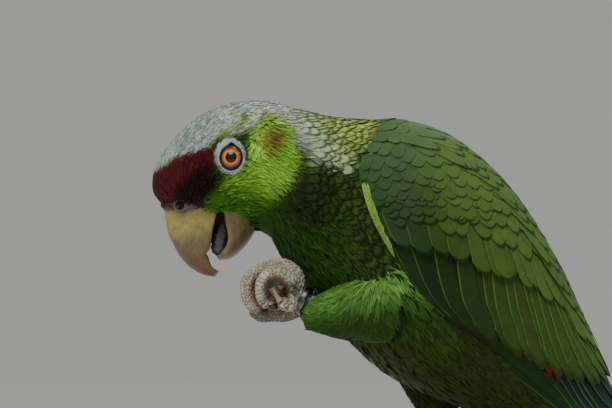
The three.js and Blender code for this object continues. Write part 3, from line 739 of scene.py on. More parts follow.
# The cheek's hair-like feathers fall behind the eye and then turn to the rear.
def cheekHeading(point, alongS, angle):
    share = (0.8 * ramp(point[..., 0], -50, -60) * ramp(point[..., 2], 229, 236))[..., None]
    return unit(alongS) * (1 - share) + np.array([0.35, 0.0, -1.0]) * share


# Each tract is where its feathers root, how close and how large they are.
bodyTracts = [
    {"s": (0.04, 2.6), "zone": "front", "spacing": 1.1, "part": "head",
     "look": {"length": 3.0, "width": 1.5, "strips": 3, "rows": 3, "fray": 0.5, "rootLift": -0.8,
              "tipLift": 0.0, "ruffle": 0.12, "tipDark": 0.15, "camber": 0.03}},
    {"s": (2.4, 6.8), "zone": "crown", "spacing": 1.5, "part": "head",
     "look": {"length": 4.6, "width": 2.5, "strips": 4, "rows": 4, "fray": 0.5, "rootLift": -1.1,
              "tipLift": 0.0, "ruffle": 0.14, "tipDark": 0.5, "mottle": 0.09, "camber": 0.02,
              "unruly": 0.1}},
    {"s": (0.3, 7.4), "zone": "cheek", "spacing": 1.35, "part": "head",
     "look": {"heading": cheekHeading, "length": 8.0, "width": 2.4, "strips": 5, "rows": 5, "fray": 1.0,
              "rootLift": -1.5, "tipLift": 0.05, "ruffle": 0.3, "tipDark": 0.1, "unruly": 0.1,
              "mottle": 0.11, "rounding": 0.6}},
    {"s": (6.3, 9.7), "zone": "nape", "spacing": 3.0, "part": "neck",
     "look": {"length": 10, "width": 6.2, "strips": 6, "rows": 6, "fray": 0.12, "rootLift": -2.0,
              "tipLift": 0.05, "tipDark": 0.8, "camber": 0.03, "mottle": 0.08}},
    {"s": (6.4, 9.7), "zone": "neck", "spacing": 2.6, "part": "neck",
     "look": {"length": 10, "width": 5.0, "strips": 6, "rows": 5, "fray": 0.5, "rootLift": -2.2,
              "tipLift": 0.05, "tipDark": 0.45, "mottle": 0.13, "unruly": 0.09, "camber": 0.03}},
    {"s": (9.0, 16.6), "zone": "trunk", "spacing": 4.2, "part": "trunk",
     "look": {"length": 15, "width": 9.6, "strips": 7, "rows": 6, "fray": 0.25, "rootLift": -2.8,
              "tipLift": 0.05, "tipDark": 0.8, "camber": 0.03, "mottle": 0.1}},
]


# Which roots a zone takes, by their angle and the face's outline, clear of the mouth and the eyes.
def inZone(zone, s, angle):
    at = bodySurface(s, angle)
    wide = np.abs(angle)
    face = (inside(at, markingOutlines["cheek"], 1.0) > 0.5) | (wide > 92 - 16 * ramp(s, 6, 3))
    face = face & ~((s < 2.6) & (wide < 106))
    across, up = at[:, 0] - bareEye["x"], at[:, 2] - bareEye["z"]
    fromEye = np.hypot(across / bareEye["wide"], up / bareEye["tall"])
    eyeClear = (s > 7) | (fromEye > 1)
    mouthClear = (s > 2.1) | (wide < 118)
    zones = {
        "front": ~face & (wide < 110),
        "crown": ~face,
        "cheek": face & (s < 7.0 - 0.6 * (wide > 100)),
        "nape": (wide < 100) & (~face | (s > 7)),
        "neck": wide >= 94,
        "trunk": wide < 181,
    }
    return zones[zone] & eyeClear & mouthClear


# The feathers shrink by the share near, which is 1 at the eye's ring and 0.6 at the bill.
def layBody():
    lots = {"head": [], "neck": [], "trunk": []}
    for seed, tract in enumerate(bodyTracts):
        rng = np.random.default_rng(seed)
        s, angle = rowsOver(bodySurface, *tract["s"], -180, 180, tract["spacing"], rng)
        keep = inZone(tract["zone"], s, angle)
        s, angle = s[keep], angle[keep]
        look = {"unwrap": wholeBody, **tract["look"]}
        at = bodySurface(s, angle)
        fromEye = np.hypot(at[:, 0] - nearEye["x"], at[:, 2] - nearEye["z"])
        near = ramp(fromEye, nearEye["far"], nearEye["near"]) * (s < 7)
        near = np.maximum(near, 0.6 * ramp(s, 1.6, 0.2))
        look["length"] = look["length"] * (1 - 0.6 * near)
        look["width"] = look["width"] * (1 - 0.45 * near)
        look["rootLift"] = look["rootLift"] * (1 - 0.3 * near)
        look["tipLift"] = look["tipLift"] + 0.45 * near * (s > 1.8)
        look["tipDark"] = look["tipDark"] * (1 - 0.55 * ramp(at[:, 2] - 0.35 * at[:, 0], 205, 180))
        lots[tract["part"]].append(layVanes(bodySurface, s, angle, look, markings, seed))
    addCoat("headFeathers", lots["head"], faceFeather, "head_plumage", ["head"])
    addCoat("neckFeathers", lots["neck"], bodyFeather, "plumage", ["neck"])
    addCoat("trunkFeathers", lots["trunk"], bodyFeather, "plumage", ["trunk"])


layBody()
print("body coat laid")


# How far the coat of a wing stands off the flank, and its thickness over each kind of feather.
wing = {"clearance": 1.2, "coverts": 5.6, "secondaries": 3.9, "primaries": 2.5}


# The outer face of a folded wing: swollen over the coverts, and thinned by a square root at its borders.
def wingCoat(side):
    under = wingSurface(side)

    def rounded(distance):
        return 0.3 + 0.7 * np.sqrt(np.clip(distance, 0, 1))

    def surface(s, angle, lift=0.0):
        s, angle = np.broadcast_arrays(np.asarray(s, float), np.asarray(angle, float))
        held = np.clip(angle, 0, wingForm["lowerEdge"])
        coverts, quills = covertsEnd(held), secondariesEnd(held)
        step = wing["coverts"] - wing["secondaries"]
        full = wing["coverts"] - step * ramp(s, coverts - 1.2, coverts + 0.6)
        full = full - (wing["secondaries"] - wing["primaries"]) * ramp(s, quills - 1.0, quills + 0.6)
        reach = np.interp(s, [11, 14, 17], [98, 104, 107])
        upper, lower = rounded(angle / 13), rounded((reach - angle) / 11)
        edge = np.minimum(np.minimum(upper, lower), rounded((s - frontOf(angle)) / 1.5))
        return under(s, angle, wing["clearance"] + full * edge + lift)
    return surface


# The lie of the wing's feathers: along the body by the back, and nearly upright on the side. Their
# slope goes by x, and near the front border by z.
wingSlopes = {"x": [-17, 7, 31, 45, 59, 72], "slope": [90, 88, 82, 74, 66, 61],
              "z": [178, 195, 222, 240], "front": [5.2, -7.6, -20, -22], "border": [52, 58, 70, 88]}


def wingHeading(point, alongS, angle):
    slope = np.interp(point[..., 0], wingSlopes["x"], wingSlopes["slope"])
    front = np.interp(point[..., 2], wingSlopes["z"], wingSlopes["front"])
    border = np.interp(point[..., 2], wingSlopes["z"], wingSlopes["border"])
    slope = np.radians(slope + (border - slope) * ramp(point[..., 0] - front, 30, -2))
    down = np.stack([np.cos(slope), 0 * slope, -np.sin(slope)], -1)
    share = ramp(angle, 6, 42) * (1 - 0.8 * ramp(angle, 84, 102) * ramp(point[..., 0], 28, 48))
    return unit(alongS) * (1 - share[..., None]) + down * share[..., None]


# low and high, shoulder and shoulderTop: the wing's green in painted shade below and painted light above
wingTones = {
    "low": tone(26, 44, 18),
    "high": tone(68, 94, 40),
    "shoulder": tone(36, 60, 30),
    "shoulderTop": tone(56, 82, 48),
    "quillShade": 0.72,
    "edge": tone(116, 146, 64),
    "blue": tone(24, 34, 74),
    "red": tone(104, 24, 18),
    "primary": tone(26, 50, 18),
    "tail": tone(58, 106, 38),
    "tailTip": tone(150, 168, 70),
}


# Brighter with the height over the wing's lower edge, measured square to the back: painted light above and
# painted shade towards the lower edge. Bluer at the shoulder, which is also painted lighter towards the top.
def wingTint(point):
    x, z = point[..., 0], point[..., 2]
    tint = mix(wingTones["low"] + 0 * point, wingTones["high"], ramp(z + 1.15 * x, 192, 240))
    shoulder = mix(wingTones["shoulder"] + 0 * point, wingTones["shoulderTop"], ramp(z, 206, 240))
    return mix(tint, shoulder, ramp(x, 8, -13))


wholeWing = ((8, -5), (20, 112))  # s and wing angle at the map's two corners
sheetColumns = [-1, -0.86, -0.6, -0.3, -0.07, 0, 0.07, 0.3, 0.6, 0.86, 1]


# Along the front border of the wing, towards its lower edge.
def edgeHeading(point, alongS, angle):
    return np.array([0.42, 0.0, -1.0]) + 0 * point


def edgeTint(point):
    return wingTones["edge"] + 0 * point


# The coverts' looks. What differs by feather is added where they are laid.
covertLook = {"unwrap": wholeWing, "heading": wingHeading, "border": frontOf, "strips": 6, "rows": 6,
              "tipDark": -0.7, "camber": 0.004, "mottle": 0.03, "unruly": 0.03, "rounding": 0.26,
              "shaft": 0.1}
longCovertLook = {**covertLook, "vary": 0.04, "strips": 8, "rows": 9, "waist": 0.7, "shaft": 0.2}
lastCovertLook = {"strips": 10, "tipLift": -0.25, "narrow": 0.12, "sway": 0.01, "rounding": 0.2}
edgeLook = {**covertLook, "length": 5.0, "width": 2.0 + 1.3 * np.sin(np.linspace(0.2, 3.0, 24)),
            "rootLift": -0.3, "tipDark": -0.35, "heading": edgeHeading, "strips": 4, "rows": 4}
scapularLook = {**covertLook, "length": 24, "width": 6.6, "rootLift": -0.5, "tipLift": 0.45, "rows": 9,
                "heading": None, "waist": 0.8, "camber": 0.03}
fillerLook = {**covertLook, "length": 13, "width": 7.5, "rootLift": -0.9, "tipLift": -0.2}
# The rows of longer coverts: how far their tips stay before the coverts' end, length and width.
covertRows = [(1.9, 14, 9), (1.45, 16, 9.5), (1.0, 18, 10), (0.0, 27, 10)]
fillers = [(-3, 234.5), (0.5, 234), (-6.5, 236.5), (3.5, 233)]  # tips, as x and z
scapularAngles = [2, 5.5, 9, 12.5, 16, 19.5, 23]
scapularSteps = np.array([0, 0.2, 0.07, 0.3, 0.13, 0.34, 0.1])  # how far each line is set back


# Angles that divide the line s = sOf(angle) on a surface into equal lengths.
def evenAngles(surface, sOf, low, high, count):
    angle = np.linspace(low, high, 500)
    steps = np.linalg.norm(np.diff(surface(sOf(angle), angle), axis=0), axis=-1)
    return np.interp(np.linspace(0, 1, count), np.append(0, np.cumsum(steps)) / steps.sum(), angle)


# The wing's parameters nearest to places x, z in the side view.
def onWing(surface, places):
    s, angle = grid(np.linspace(9, 19.5, 300), np.linspace(1, 106, 260))
    flat = surface(s, angle)[..., [0, 2]].reshape(-1, 1, 2)
    nearest = np.linalg.norm(flat - np.asarray(places)[None], axis=-1).argmin(0)
    return s.ravel()[nearest], angle.ravel()[nearest]


# Small coverts, four rows of longer ones, the pale front edge, scapulars and fillers at the shoulder.
def layWing(name, side):
    surface = wingCoat(side)
    rng = np.random.default_rng(20)
    s, angle = rowsOver(wingSurface(side), 8.9, 14.0, 1, 103, 3.7, rng)
    keep = (s > frontOf(angle) + 0.06) & (s < covertsEnd(angle) - 2.35)
    s, angle = s[keep], angle[keep]
    small = ramp(s - frontOf(angle), 1.6, 0.1)
    look = {**covertLook, "length": 11 - 4 * small, "width": 8.4 - 2.4 * small, "rootLift": -0.5,
            "tipLift": 0.02}
    lots = [layVanes(surface, s, angle, look, wingTint, 21)]
    for row, (back, length, width) in enumerate(covertRows):
        def endOf(angle):
            return covertsEnd(angle) - back
        reach = 97 - 3 * row
        line = np.linspace(3, reach, 99)
        extent = np.linalg.norm(np.diff(surface(endOf(line), line), axis=0), axis=-1).sum()
        angle = evenAngles(surface, endOf, 3, reach, int(extent / (0.54 * width)))
        angle = angle[endOf(angle) > frontOf(angle) + 0.12]
        tipS = endOf(angle) + rng.uniform(-0.12, 0.12, len(angle))
        s, start, length = rootsOf(surface, tipS, angle, wingHeading, length, frontOf)
        look = {**longCovertLook, "length": length, "width": width, "tipLift": -0.05 - 0.05 * row,
                "rootLift": -0.9 - 0.1 * row}
        if row == len(covertRows) - 1:
            look = {**look, **lastCovertLook, "tilt": -side * 0.25, "edgeLight": -side * 0.3}
        lots.append(layVanes(surface, s, start, look, wingTint, 30 + row))
    angle = evenAngles(surface, lambda a: frontOf(a) + 0.1, 61, 91, 24)
    for column in range(2):
        s = frontOf(angle) + 0.07 + 0.06 * column
        look = {**edgeLook, "tipLift": 0.35 - 0.1 * column}
        lots.append(layVanes(surface, s, angle, look, edgeTint, 40 + column))
    s, angle = grid(np.linspace(9.5, 13.6, 10), scapularAngles)
    lots.append(layVanes(surface, (s + scapularSteps).ravel(), angle.ravel(), scapularLook, wingTint, 44))
    s, angle = onWing(surface, fillers)
    s, angle, _ = rootsOf(surface, s, angle, wingHeading, fillerLook["length"])
    lots.append(layVanes(surface, s, angle, fillerLook, wingTint, 46))
    addCoat(f"wingCoverts_{name}", lots, bodyFeather, "flight_feathers", [f"wing_{name}_coverts"])


quillLook = {"unwrap": wholeWing, "border": frontOf, "columns": sheetColumns, "strips": 1, "rows": 20,
             "waist": 0.6, "rounding": 0.16, "vary": 0.012, "sway": 0.006, "camber": 0.006, "mottle": 0.05,
             "unruly": 0.01, "tipDark": -0.4, "shaft": 0.4, "ridge": 0.2, "narrow": 0.1}
quills = {"count": 20, "lowest": -2.1, "step": 0.105}
specula = {"tips": [(41.0, 157.2), (44.2, 155.4)], "length": 34, "width": 3.4}
quillThickness = 0.3


# The speculum and the primaries lie lowest, the secondaries over them from the lower edge upwards.
def layQuills(name, side):
    surface = wingCoat(side)
    base = {**quillLook, "tilt": -side * 0.3}
    count = quills["count"]
    order = np.arange(count)
    angle = evenAngles(surface, secondariesEnd, 5, 103, count)[::-1]
    length = np.interp(order, [0, 10, count - 1], [60, 60, 46])
    s, start, length = rootsOf(surface, secondariesEnd(angle) - 0.05, angle, wingHeading, length, frontOf)
    height = quills["lowest"] + quills["step"] * order
    width = np.interp(order, [7, 12], [12.5, 10.5])
    look = {**base, "heading": wingHeading, "length": length, "width": width, "tipLift": height,
            "rootLift": height - length / 60, "edgeLight": -side * 0.34, "pointed": 0.2}
    # The quills carry the wing's painted light and shade, times quillShade.
    lots = [layVanes(surface, s, start, look, lambda point: wingTint(point) * wingTones["quillShade"], 50)]
    order = np.arange(10)
    tipAngle = np.linspace(97, 22, 10)
    tipS = np.interp(order, [0, 2, 5, 9], [18.2, 19.6, 19.3, 17.4])
    s, start, _ = rootsOf(surface, tipS, tipAngle, None, 88)
    look = {**base, "length": 88, "width": 13, "rootLift": -4.0 + 0.08 * order, "pointed": 0.7,
            "tipLift": -2.2 + 0.12 * order, "edgeLight": -side * 0.3}
    bluer = 0.3 * ramp(order, 1.5, 4)[:, None]
    blue = wingTones["primary"] + (wingTones["blue"] - wingTones["primary"]) * bluer
    lots.append(layVanes(surface, s, start, look, lambda point: blue, 51))
    s, angle = onWing(surface, specula["tips"])
    s, start, _ = rootsOf(surface, s, angle, wingHeading, specula["length"])
    look = {**base, "length": specula["length"], "width": specula["width"], "heading": wingHeading,
            "rootLift": -2.7, "tipLift": -1.35, "rows": 12, "tilt": 0}
    lots.append(layVanes(surface, s, start, look, lambda point: wingTones["red"] + 0 * point, 52))
    nodes = [f"wing_{name}_secondaries", f"wing_{name}_primaries"]
    thicken(addCoat(f"wingQuills_{name}", lots, flightFeather, "flight_feathers", nodes))


# Gives a piece's sheets their thickness, towards the body.
def thicken(piece):
    shell = piece.modifiers.new("thickness", "SOLIDIFY")
    shell.thickness = quillThickness * mm
    shell.offset = -1


for sideName, sideSign in sideSigns.items():
    layWing(sideName, sideSign)
    layQuills(sideName, sideSign)
print("wings laid")


tail = {"root": (63.5, 132.5), "slope": 58.5, "length": 131.0, "fall": 112, "rootHalf": 10.0,
        "tipHalf": 17.5, "camber": 0.13, "rounding": 11.0}


# A fan on a falling line: s runs from root to tip, and angle from -100 to 100 across it.
def tailSurface(s, angle, lift=0.0):
    out = np.asarray(angle, float) / 100
    along = s * (tail["length"] - tail["rounding"] * out ** 2)
    spread = np.sin(0.5 * np.pi * np.clip(s, 0, 1)) ** 1.5
    half = tail["rootHalf"] + (tail["tipHalf"] - tail["rootHalf"]) * spread
    height = lift - tail["camber"] * out ** 2 * half
    slope = math.radians(tail["slope"])
    c, d = math.cos(slope), math.sin(slope)
    x, z = tail["root"][0] + along * c + height * d, tail["root"][1] - along * d + height * c
    return np.stack(np.broadcast_arrays(x, half * out, z), -1)


def tailTint(point):  # by the share of the tail's fall
    fallen = (tail["root"][1] - point[..., 2]) / tail["fall"]
    return mix(wingTones["tail"] + 0 * point, wingTones["tailTip"], ramp(fallen, 0.62, 0.85))


def rumpSurface(s, angle, lift=0.0):
    return loftPoint(rumpStations, s, angle, lift)


tailLook = {"unwrap": ((-0.1, -110), (1.1, 110)), "columns": sheetColumns, "strips": 1, "rows": 22,
            "waist": 0.6, "width": 11.5, "rounding": 0.05, "pointed": 0.5, "camber": 0.03, "mottle": 0.05,
            "unruly": 0.01, "sway": 0.008, "tipDark": 0.1, "shaft": 0.5, "ridge": 0.25}
tailCovertLook = {"unwrap": ((0, -180), (4, 180)), "strips": 8, "rows": 8, "length": 26, "width": 12,
                  "rootLift": -2.4, "tipLift": 0.1, "fray": 0.2, "tipDark": 0.3, "camber": 0.05}


# Twelve quills, the middle pair on top and the longest, and the coverts over and under their roots.
def layTail():
    out = np.array([0.9, 0.76, 0.6, 0.43, 0.26, 0.08])
    out = np.concatenate([-out, out])
    order = np.abs(out)
    look = {**tailLook, "length": 126 - 10 * order ** 2, "rootLift": -1.2 * order,
            "tipLift": 1.2 - 2.4 * order, "edgeLight": 0.25 * np.sign(out)}
    lots = [layVanes(tailSurface, 0.0 * out, out * 92, look, tailTint, 60)]
    thicken(addCoat("tailQuills", lots, flightFeather, "flight_feathers", ["tail"]))
    rng = np.random.default_rng(61)
    s, angle = rowsOver(rumpSurface, 0, 2.6, -180, 180, 6.0, rng)
    lots = [layVanes(rumpSurface, s, angle, tailCovertLook, markings, 62)]
    addCoat("tailCoverts", lots, bodyFeather, "plumage")


layTail()
print("tail laid")


# What the feet bend round.
hubs = {"left": (-54.5, -17.5, 187.5), "right": (0.0, 5.0, 112.0)}
thighHubs = {"left": (0, 0, 400), "right": (60, 13, 150)}
thighPaths = {
    "left": [[-4, -24, 185, 13.5], [-19, -25, 182.3, 12.6], [-29.3, -23.2, 180.6, 9.9],
             [-37.3, -20.4, 179.6, 7], [-42.6, -18.5, 178.7, 4.6]],
    "right": [[-6, 18, 172.5, 12], [-1, 16.5, 160, 10.5], [3, 13.5, 148.1, 7.6], [5, 10.5, 142.4, 4.8]],
}


# Painted light and shade: thighLow darkens the thigh's lower side.
def thighTint(point):  # paler on top, and like the belly between the legs
    low = ramp(point[..., 2] - 0.12 * point[..., 0], 192, 178)
    tint = mix(plumage["thigh"] + 0 * point, plumage["thighLow"], low)
    return mix(tint, plumage["belly"], ramp(point[..., 2], 172, 162))


# The raised thigh's feathers fan out from the top of the knee: over the flank, and down the shank.
def raisedHeading(point, alongS, angle):
    share = ramp(point[..., 0], -40, -30)[..., None]
    fan = (point - np.array([-20.0, 0.0, 200.0])) * [1, 0, 1]
    return unit(alongS) * (1 - share) + unit(fan) * share


thighLook = {"unwrap": ((0, -180), (1, 180)), "strips": 6, "rows": 5, "tipLift": 0.05, "fray": 0.6,
             "unruly": 0.1, "tipDark": 0.2, "mottle": 0.12, "camber": 0.03}
flankLook = {"length": 10, "width": 4.2, "rootLift": -1.2, "tipLift": 0.4, "ruffle": 0.35, "fray": 0.7}
thighStart = -14  # the x behind which the raised thigh's feathers are the body's


# Feathers shorten down the thigh. The raised one's are longer to the rear and go over the flank.
def layThigh(name):
    surface = limbSurface(thighPaths[name], thighHubs[name])
    rng = np.random.default_rng(70)
    s, angle = rowsOver(surface, 0.0, 0.95, -180, 180, 1.9, rng)
    if name == "left":
        ahead = surface(s, angle)[:, 0] < thighStart
        s, angle = s[ahead], angle[ahead]
    look = {**thighLook, "length": 8.0 - 4.6 * s, "width": 3.6 - 1.6 * s, "rootLift": -1.8 + 1.2 * s,
            "ruffle": 0.5 - 0.35 * s}
    if name == "left":
        rear = ramp(surface(s, angle)[:, 0], -27, -20)
        look = {**look, "heading": raisedHeading, "length": look["length"] * (1 - rear) + 9.5 * rear,
                "width": look["width"] * (1 - rear) + 4.2 * rear}
    lots = [layVanes(surface, s, angle, look, thighTint, 71)]
    if name == "left":
        s, angle = rowsOver(bodySurface, 8.2, 12.9, -150, -60, 2.7, rng)
        keep = inside(bodySurface(s, angle), markingOutlines["flank"], 1.0) > 0.5
        look = {**look, **flankLook}
        lots.append(layVanes(bodySurface, s[keep], angle[keep], look, thighTint, 72))
    addCoat(f"thighFeathers_{name}", lots, bodyFeather, "plumage", [f"thigh_{name}"])


layThigh("left")
layThigh("right")
print("thighs laid")


def coatDepth(s):  # how deep the skin lies under the coat's outline
    return np.interp(s, [0, 1.5, 4, 7, 9, 17], [0.7, 0.9, 1.6, 2.6, 3.6, 3.2])


# The body's outline for the skin. Over the mouth it is drawn up, clear of the lower bill.
def underCoat(s, angle, lift=0.0):
    chin = ramp(np.abs(angle), 104, 132) * ramp(s, 3.6, 2.6)
    drawn = chin * ramp(s, 3.4, 1.2)
    return bodySurface(s, angle, lift * (1 - chin)) + drawn[..., None] * np.array([0.6, 0, 2.8])


def closedGrid(points):  # rings of points as one closed surface
    rows, columns = points.shape[:2]
    points, faces = closeEnds(points.reshape(-1, 3), gridFaces(rows, columns, wrap=True), columns)
    return points, outward(points, faces)


def loftSkin(surface, start, stop, rows, columns, depth):
    s, angle = grid(np.linspace(start, stop, rows), np.linspace(-180, 180, columns, endpoint=False))
    return closedGrid(surface(s, angle, -depth(s)))


# A limb with round ends: past each end the ring shrinks as the square root of 1 - overshoot squared.
def limbShape(path, hub=(1e3, 0, 0), swell=0.0, rows=24, columns=20):
    surface = limbSurface(path, hub)
    path = np.asarray(path, float)
    t, angle = grid(np.linspace(-1, 1, rows * 2 + 1), np.arange(columns) * 360 / columns)
    cap = np.clip((np.abs(t) - 0.6) / 0.39, 0, 1)
    points = surface(np.clip(t / 1.2 + 0.5, 0, 1), angle, swell)
    for end, neighbour, here in ((path[0], path[1], t < 0), (path[-1], path[-2], t > 0)):
        shrunk = end[:3] + (points - end[:3]) * np.sqrt(1 - cap ** 2)[..., None]
        shrunk = shrunk + unit(end[:3] - neighbour[:3]) * ((end[3] + swell) * cap)[..., None]
        points = np.where((here & (cap > 0))[..., None], shrunk, points)
    return closedGrid(points)


def ballShape(centre, radii, rows=18, columns=24):
    tilt, turn = grid(np.linspace(0.06, math.pi - 0.06, rows), np.arange(columns) * fullTurn / columns)
    ball = np.stack([np.sin(tilt) * np.cos(turn), np.sin(tilt) * np.sin(turn), np.cos(tilt)], -1)
    return closedGrid(np.asarray(centre) + ball * np.asarray(radii))


def joinShapes(shapes):
    starts = np.cumsum([0] + [len(points) for points, _ in shapes])
    faces = np.vstack([faces + start for (_, faces), start in zip(shapes, starts)])
    return np.vstack([points for points, _ in shapes]), faces


# Melts closed shapes into one skin of even small faces: its points, faces and normals.
def remesh(name, shapes, voxel, smoothing):
    mesh = makeMesh(name, *joinShapes(shapes))
    piece = newObject(name, mesh)
    voxels = piece.modifiers.new("voxels", "REMESH")
    voxels.mode = "VOXEL"
    voxels.voxel_size = voxel * mm
    even = piece.modifiers.new("even", "SMOOTH")
    even.iterations = smoothing
    melted = piece.evaluated_get(bpy.context.evaluated_depsgraph_get())
    made = bpy.data.meshes.new_from_object(melted)
    bpy.data.objects.remove(piece)
    bpy.data.meshes.remove(mesh)
    points = pointsOf(made)
    normals = np.empty(len(points) * 3, np.float32)
    made.vertex_normals.foreach_get("vector", normals)
    faces = np.empty(len(made.loops), np.int32)
    made.loops.foreach_get("vertex_index", faces)
    bpy.data.meshes.remove(made)
    return points, faces.reshape(-1, 4), normals.reshape(-1, 3).astype(float)


# Toes as x, y, z and radius, and the points of claws, by the toe's number. The standing foot's follow.
toePaths = {
    "left": {
        1: [[-47.4, -21.3, 183.6, 2.4], [-48.9, -23.2, 182.9, 2.4], [-50.6, -23.6, 183.5, 2.2]],
        2: [[-48.4, -21.5, 191.2, 2.8], [-51.6, -22.8, 193.4, 2.7], [-55, -23.4, 193.1, 2.6],
            [-57.4, -23.6, 190.9, 2.5], [-57.9, -23.4, 187.8, 2.4], [-57.3, -23, 185, 2.3],
            [-56, -22.8, 183.4, 2.1]],
        3: [[-45.9, -16.5, 189.6, 3], [-46.7, -16.2, 193.2, 3], [-50.2, -15.6, 195.8, 3],
            [-54, -15.2, 195.6, 2.9], [-58.3, -15.6, 194.4, 2.8], [-62, -16.2, 191.6, 2.7],
            [-63, -17, 187.6, 2.6], [-61.6, -17.8, 183.4, 2.4], [-59.3, -18.2, 181.2, 2.2]],
        4: [[-46.6, -15.5, 180.8, 2.6], [-50, -14.6, 179.6, 2.6], [-54, -14, 179.6, 2.5],
            [-58, -13.8, 179.3, 2.4], [-60.6, -13.8, 180.6, 2.1]],
    },
    "right": {},
}
clawPaths = {
    "left": {
        1: [[-51.6, -23.8, 184.2], [-53, -23.9, 186.2], [-54, -23.9, 188.3]],
        2: [[-55.2, -22.7, 182.7], [-53, -21.6, 182.4], [-51.2, -20, 184]],
        3: [[-58.4, -18.3, 180.5], [-56.4, -18.4, 180.6], [-54.4, -18.4, 182.4]],
        4: [[-61.2, -13.8, 181.2], [-61.4, -13.9, 183.4], [-59.8, -14, 185.4]],
    },
    "right": {},
}
perchGrip = {"radius": 13.3, "height": 112, "middle": 5.0, "base": 2.7, "tip": 2.1, "parting": 1.9,
             "spread": 4.5}
# Each standing toe's first and last angle round the branch, and the side it parts to.
perchToes = {1: (78, 22, -0.9), 2: (102, 168, -1), 3: (102, 190, 1), 4: (78, 2, 1)}


def onPerch(turn, y, lift):  # a place round the branch, by its angle and height over the bark
    reach = perchGrip["radius"] + lift
    away = math.radians(turn)
    return [reach * math.cos(away), y, perchGrip["height"] + reach * math.sin(away)]


# The standing foot's toes lie round the branch, two forward and two back, and the claws dip to the wood.
def makePerchToes():
    steps = np.linspace(0, 1, 5)
    for toe, (start, end, across) in perchToes.items():
        toePaths["right"][toe] = []
        for t in steps:
            radius = perchGrip["base"] + (perchGrip["tip"] - perchGrip["base"]) * t
            y = perchGrip["middle"] + across * (perchGrip["parting"] + perchGrip["spread"] * t)
            toePaths["right"][toe].append([*onPerch(start + (end - start) * t, y, radius), radius])
        way = 1 if end > start else -1
        outer = perchGrip["middle"] + across * (perchGrip["parting"] + perchGrip["spread"])
        clawPaths["right"][toe] = []
        for t in steps:
            lift = 2.6 + 1.5 * math.sin(math.pi * min(t, 0.6)) - 2.2 * t * t
            clawPaths["right"][toe].append(onPerch(end + way * (4 + 30 * t), outer + across * 1.4 * t, lift))


makePerchToes()
shanks = {
    "left": [[-35.5, -20, 180.3, 3.1], [-45.2, -17.7, 185.3, 3.1], [-48.2, -17.5, 187, 3]],
    "right": [[6.2, 10.5, 141.5, 3.3], [0.6, 5.6, 131, 3.3], [0, 5, 129.3, 3]],
}
soles = {"left": ([-48.2, -17.5, 187], [2.7, 4.6, 4.4]), "right": ([0, 5, 129.3], [4.3, 4.3, 3.4])}
palm = ([-53.6, -15.0, 187.6], [7.2, 3.2, 6.6])  # the folded palm behind the left toes
footScales = {"pitch": 1.1, "relief": 0.4, "voxel": 0.33, "round": 12}
footTones = {
    "ridge": tone(164, 160, 138), "crease": tone(44, 36, 30), "pad": tone(132, 96, 84),
    # painted shade for the feet's shaded sides
    "paintedShade": tone(60, 46, 42),
}


# The middles of the scales round a toe: a broad plate on top, pebbles at its sides and pads below.
def scaleCentres(side):
    centres, plates, count = [], [], 0
    turns = [(-24, 0), (0, 0), (24, 0)] + [(turn, k + 1) for k, turn in enumerate(range(52, 320, 26))]
    for path in [*toePaths[side].values(), shanks[side]]:
        surface = limbSurface(path, hubs[side])
        length = np.linalg.norm(np.diff(np.asarray(path)[:, :3], axis=0), axis=-1).sum()
        rows = max(3, int(length / footScales["pitch"]))
        for row in range(-1, rows + 2):
            t = (row + 0.5) / rows
            for turn, plate in turns:
                late = 0.5 / rows if plate % 2 else 0.0
                centres.append(surface(t + late, turn))
                plates.append(count + plate)
            count += footScales["round"]
    nudge = np.random.default_rng(80).normal(0, 0.2, (count, 3))
    plates = np.array(plates)
    return np.array(centres) + nudge[plates], plates


# The nearest scale and the nearest other scale to each point: their difference is small in a crease.
def scalePattern(points, centres, plates, atOnce=1500):
    first, second, plate = np.empty(len(points)), np.empty(len(points)), np.empty(len(points), int)
    for start in range(0, len(points), atOnce):
        block = slice(start, start + atOnce)
        gap = np.linalg.norm(points[block, None] - centres[None], axis=-1)
        nearest = gap.argmin(1)
        first[block], plate[block] = gap.min(1), plates[nearest]
        second[block] = np.where(plates[None] == plates[nearest][:, None], 1e3, gap).min(1)
    return first, second - first, plate


# Creases sink by the relief and scales rise in the middle. The side to the hub has the pads' colour. Painted
# shade darkens the standing foot's inner side, the inside of the fist near the hub and the fist's underside.
def makeFoot(side):
    hub = np.asarray(hubs[side])
    shapes = [limbShape(path, hub) for path in toePaths[side].values()]
    shapes += [limbShape(shanks[side], hub), ballShape(*soles[side])]
    if side == "left":
        shapes.append(ballShape(*palm))
    points, faces, normals = remesh("foot", shapes, footScales["voxel"], 3)
    nearest, crease, plate = scalePattern(points, *scaleCentres(side))
    shade = np.random.default_rng(81).uniform(0.62, 1.12, plate.max() + 1)[plate]
    raised = ramp(crease, 0.0, 0.36)
    points = points + normals * (footScales["relief"] * (raised - 1) + 0.1 * (1 - nearest ** 2))[:, None]
    fromHub = (points - hub)[:, [0, 2]]
    inner = ramp(-dot(normals[:, [0, 2]], unit(fromHub)), -0.1, 0.6)
    tint = mix(footTones["ridge"] + 0 * points, footTones["pad"], inner)
    tint = mix(tint * shade[:, None], footTones["crease"], 0.9 * (1 - raised) * (1 - 0.5 * inner))
    # painted shade on the inner side, and for the fist inside and underneath
    if side == "right":
        return points, faces, mix(tint, footTones["paintedShade"], 0.3 * inner)
    tint = mix(tint, footTones["paintedShade"], 0.7 * inner * ramp(np.linalg.norm(fromHub, axis=-1), 7.5, 4.0))
    return points, faces, mix(tint, footTones["paintedShade"], 0.55 * ramp(points[:, 2], 182, 178.5))


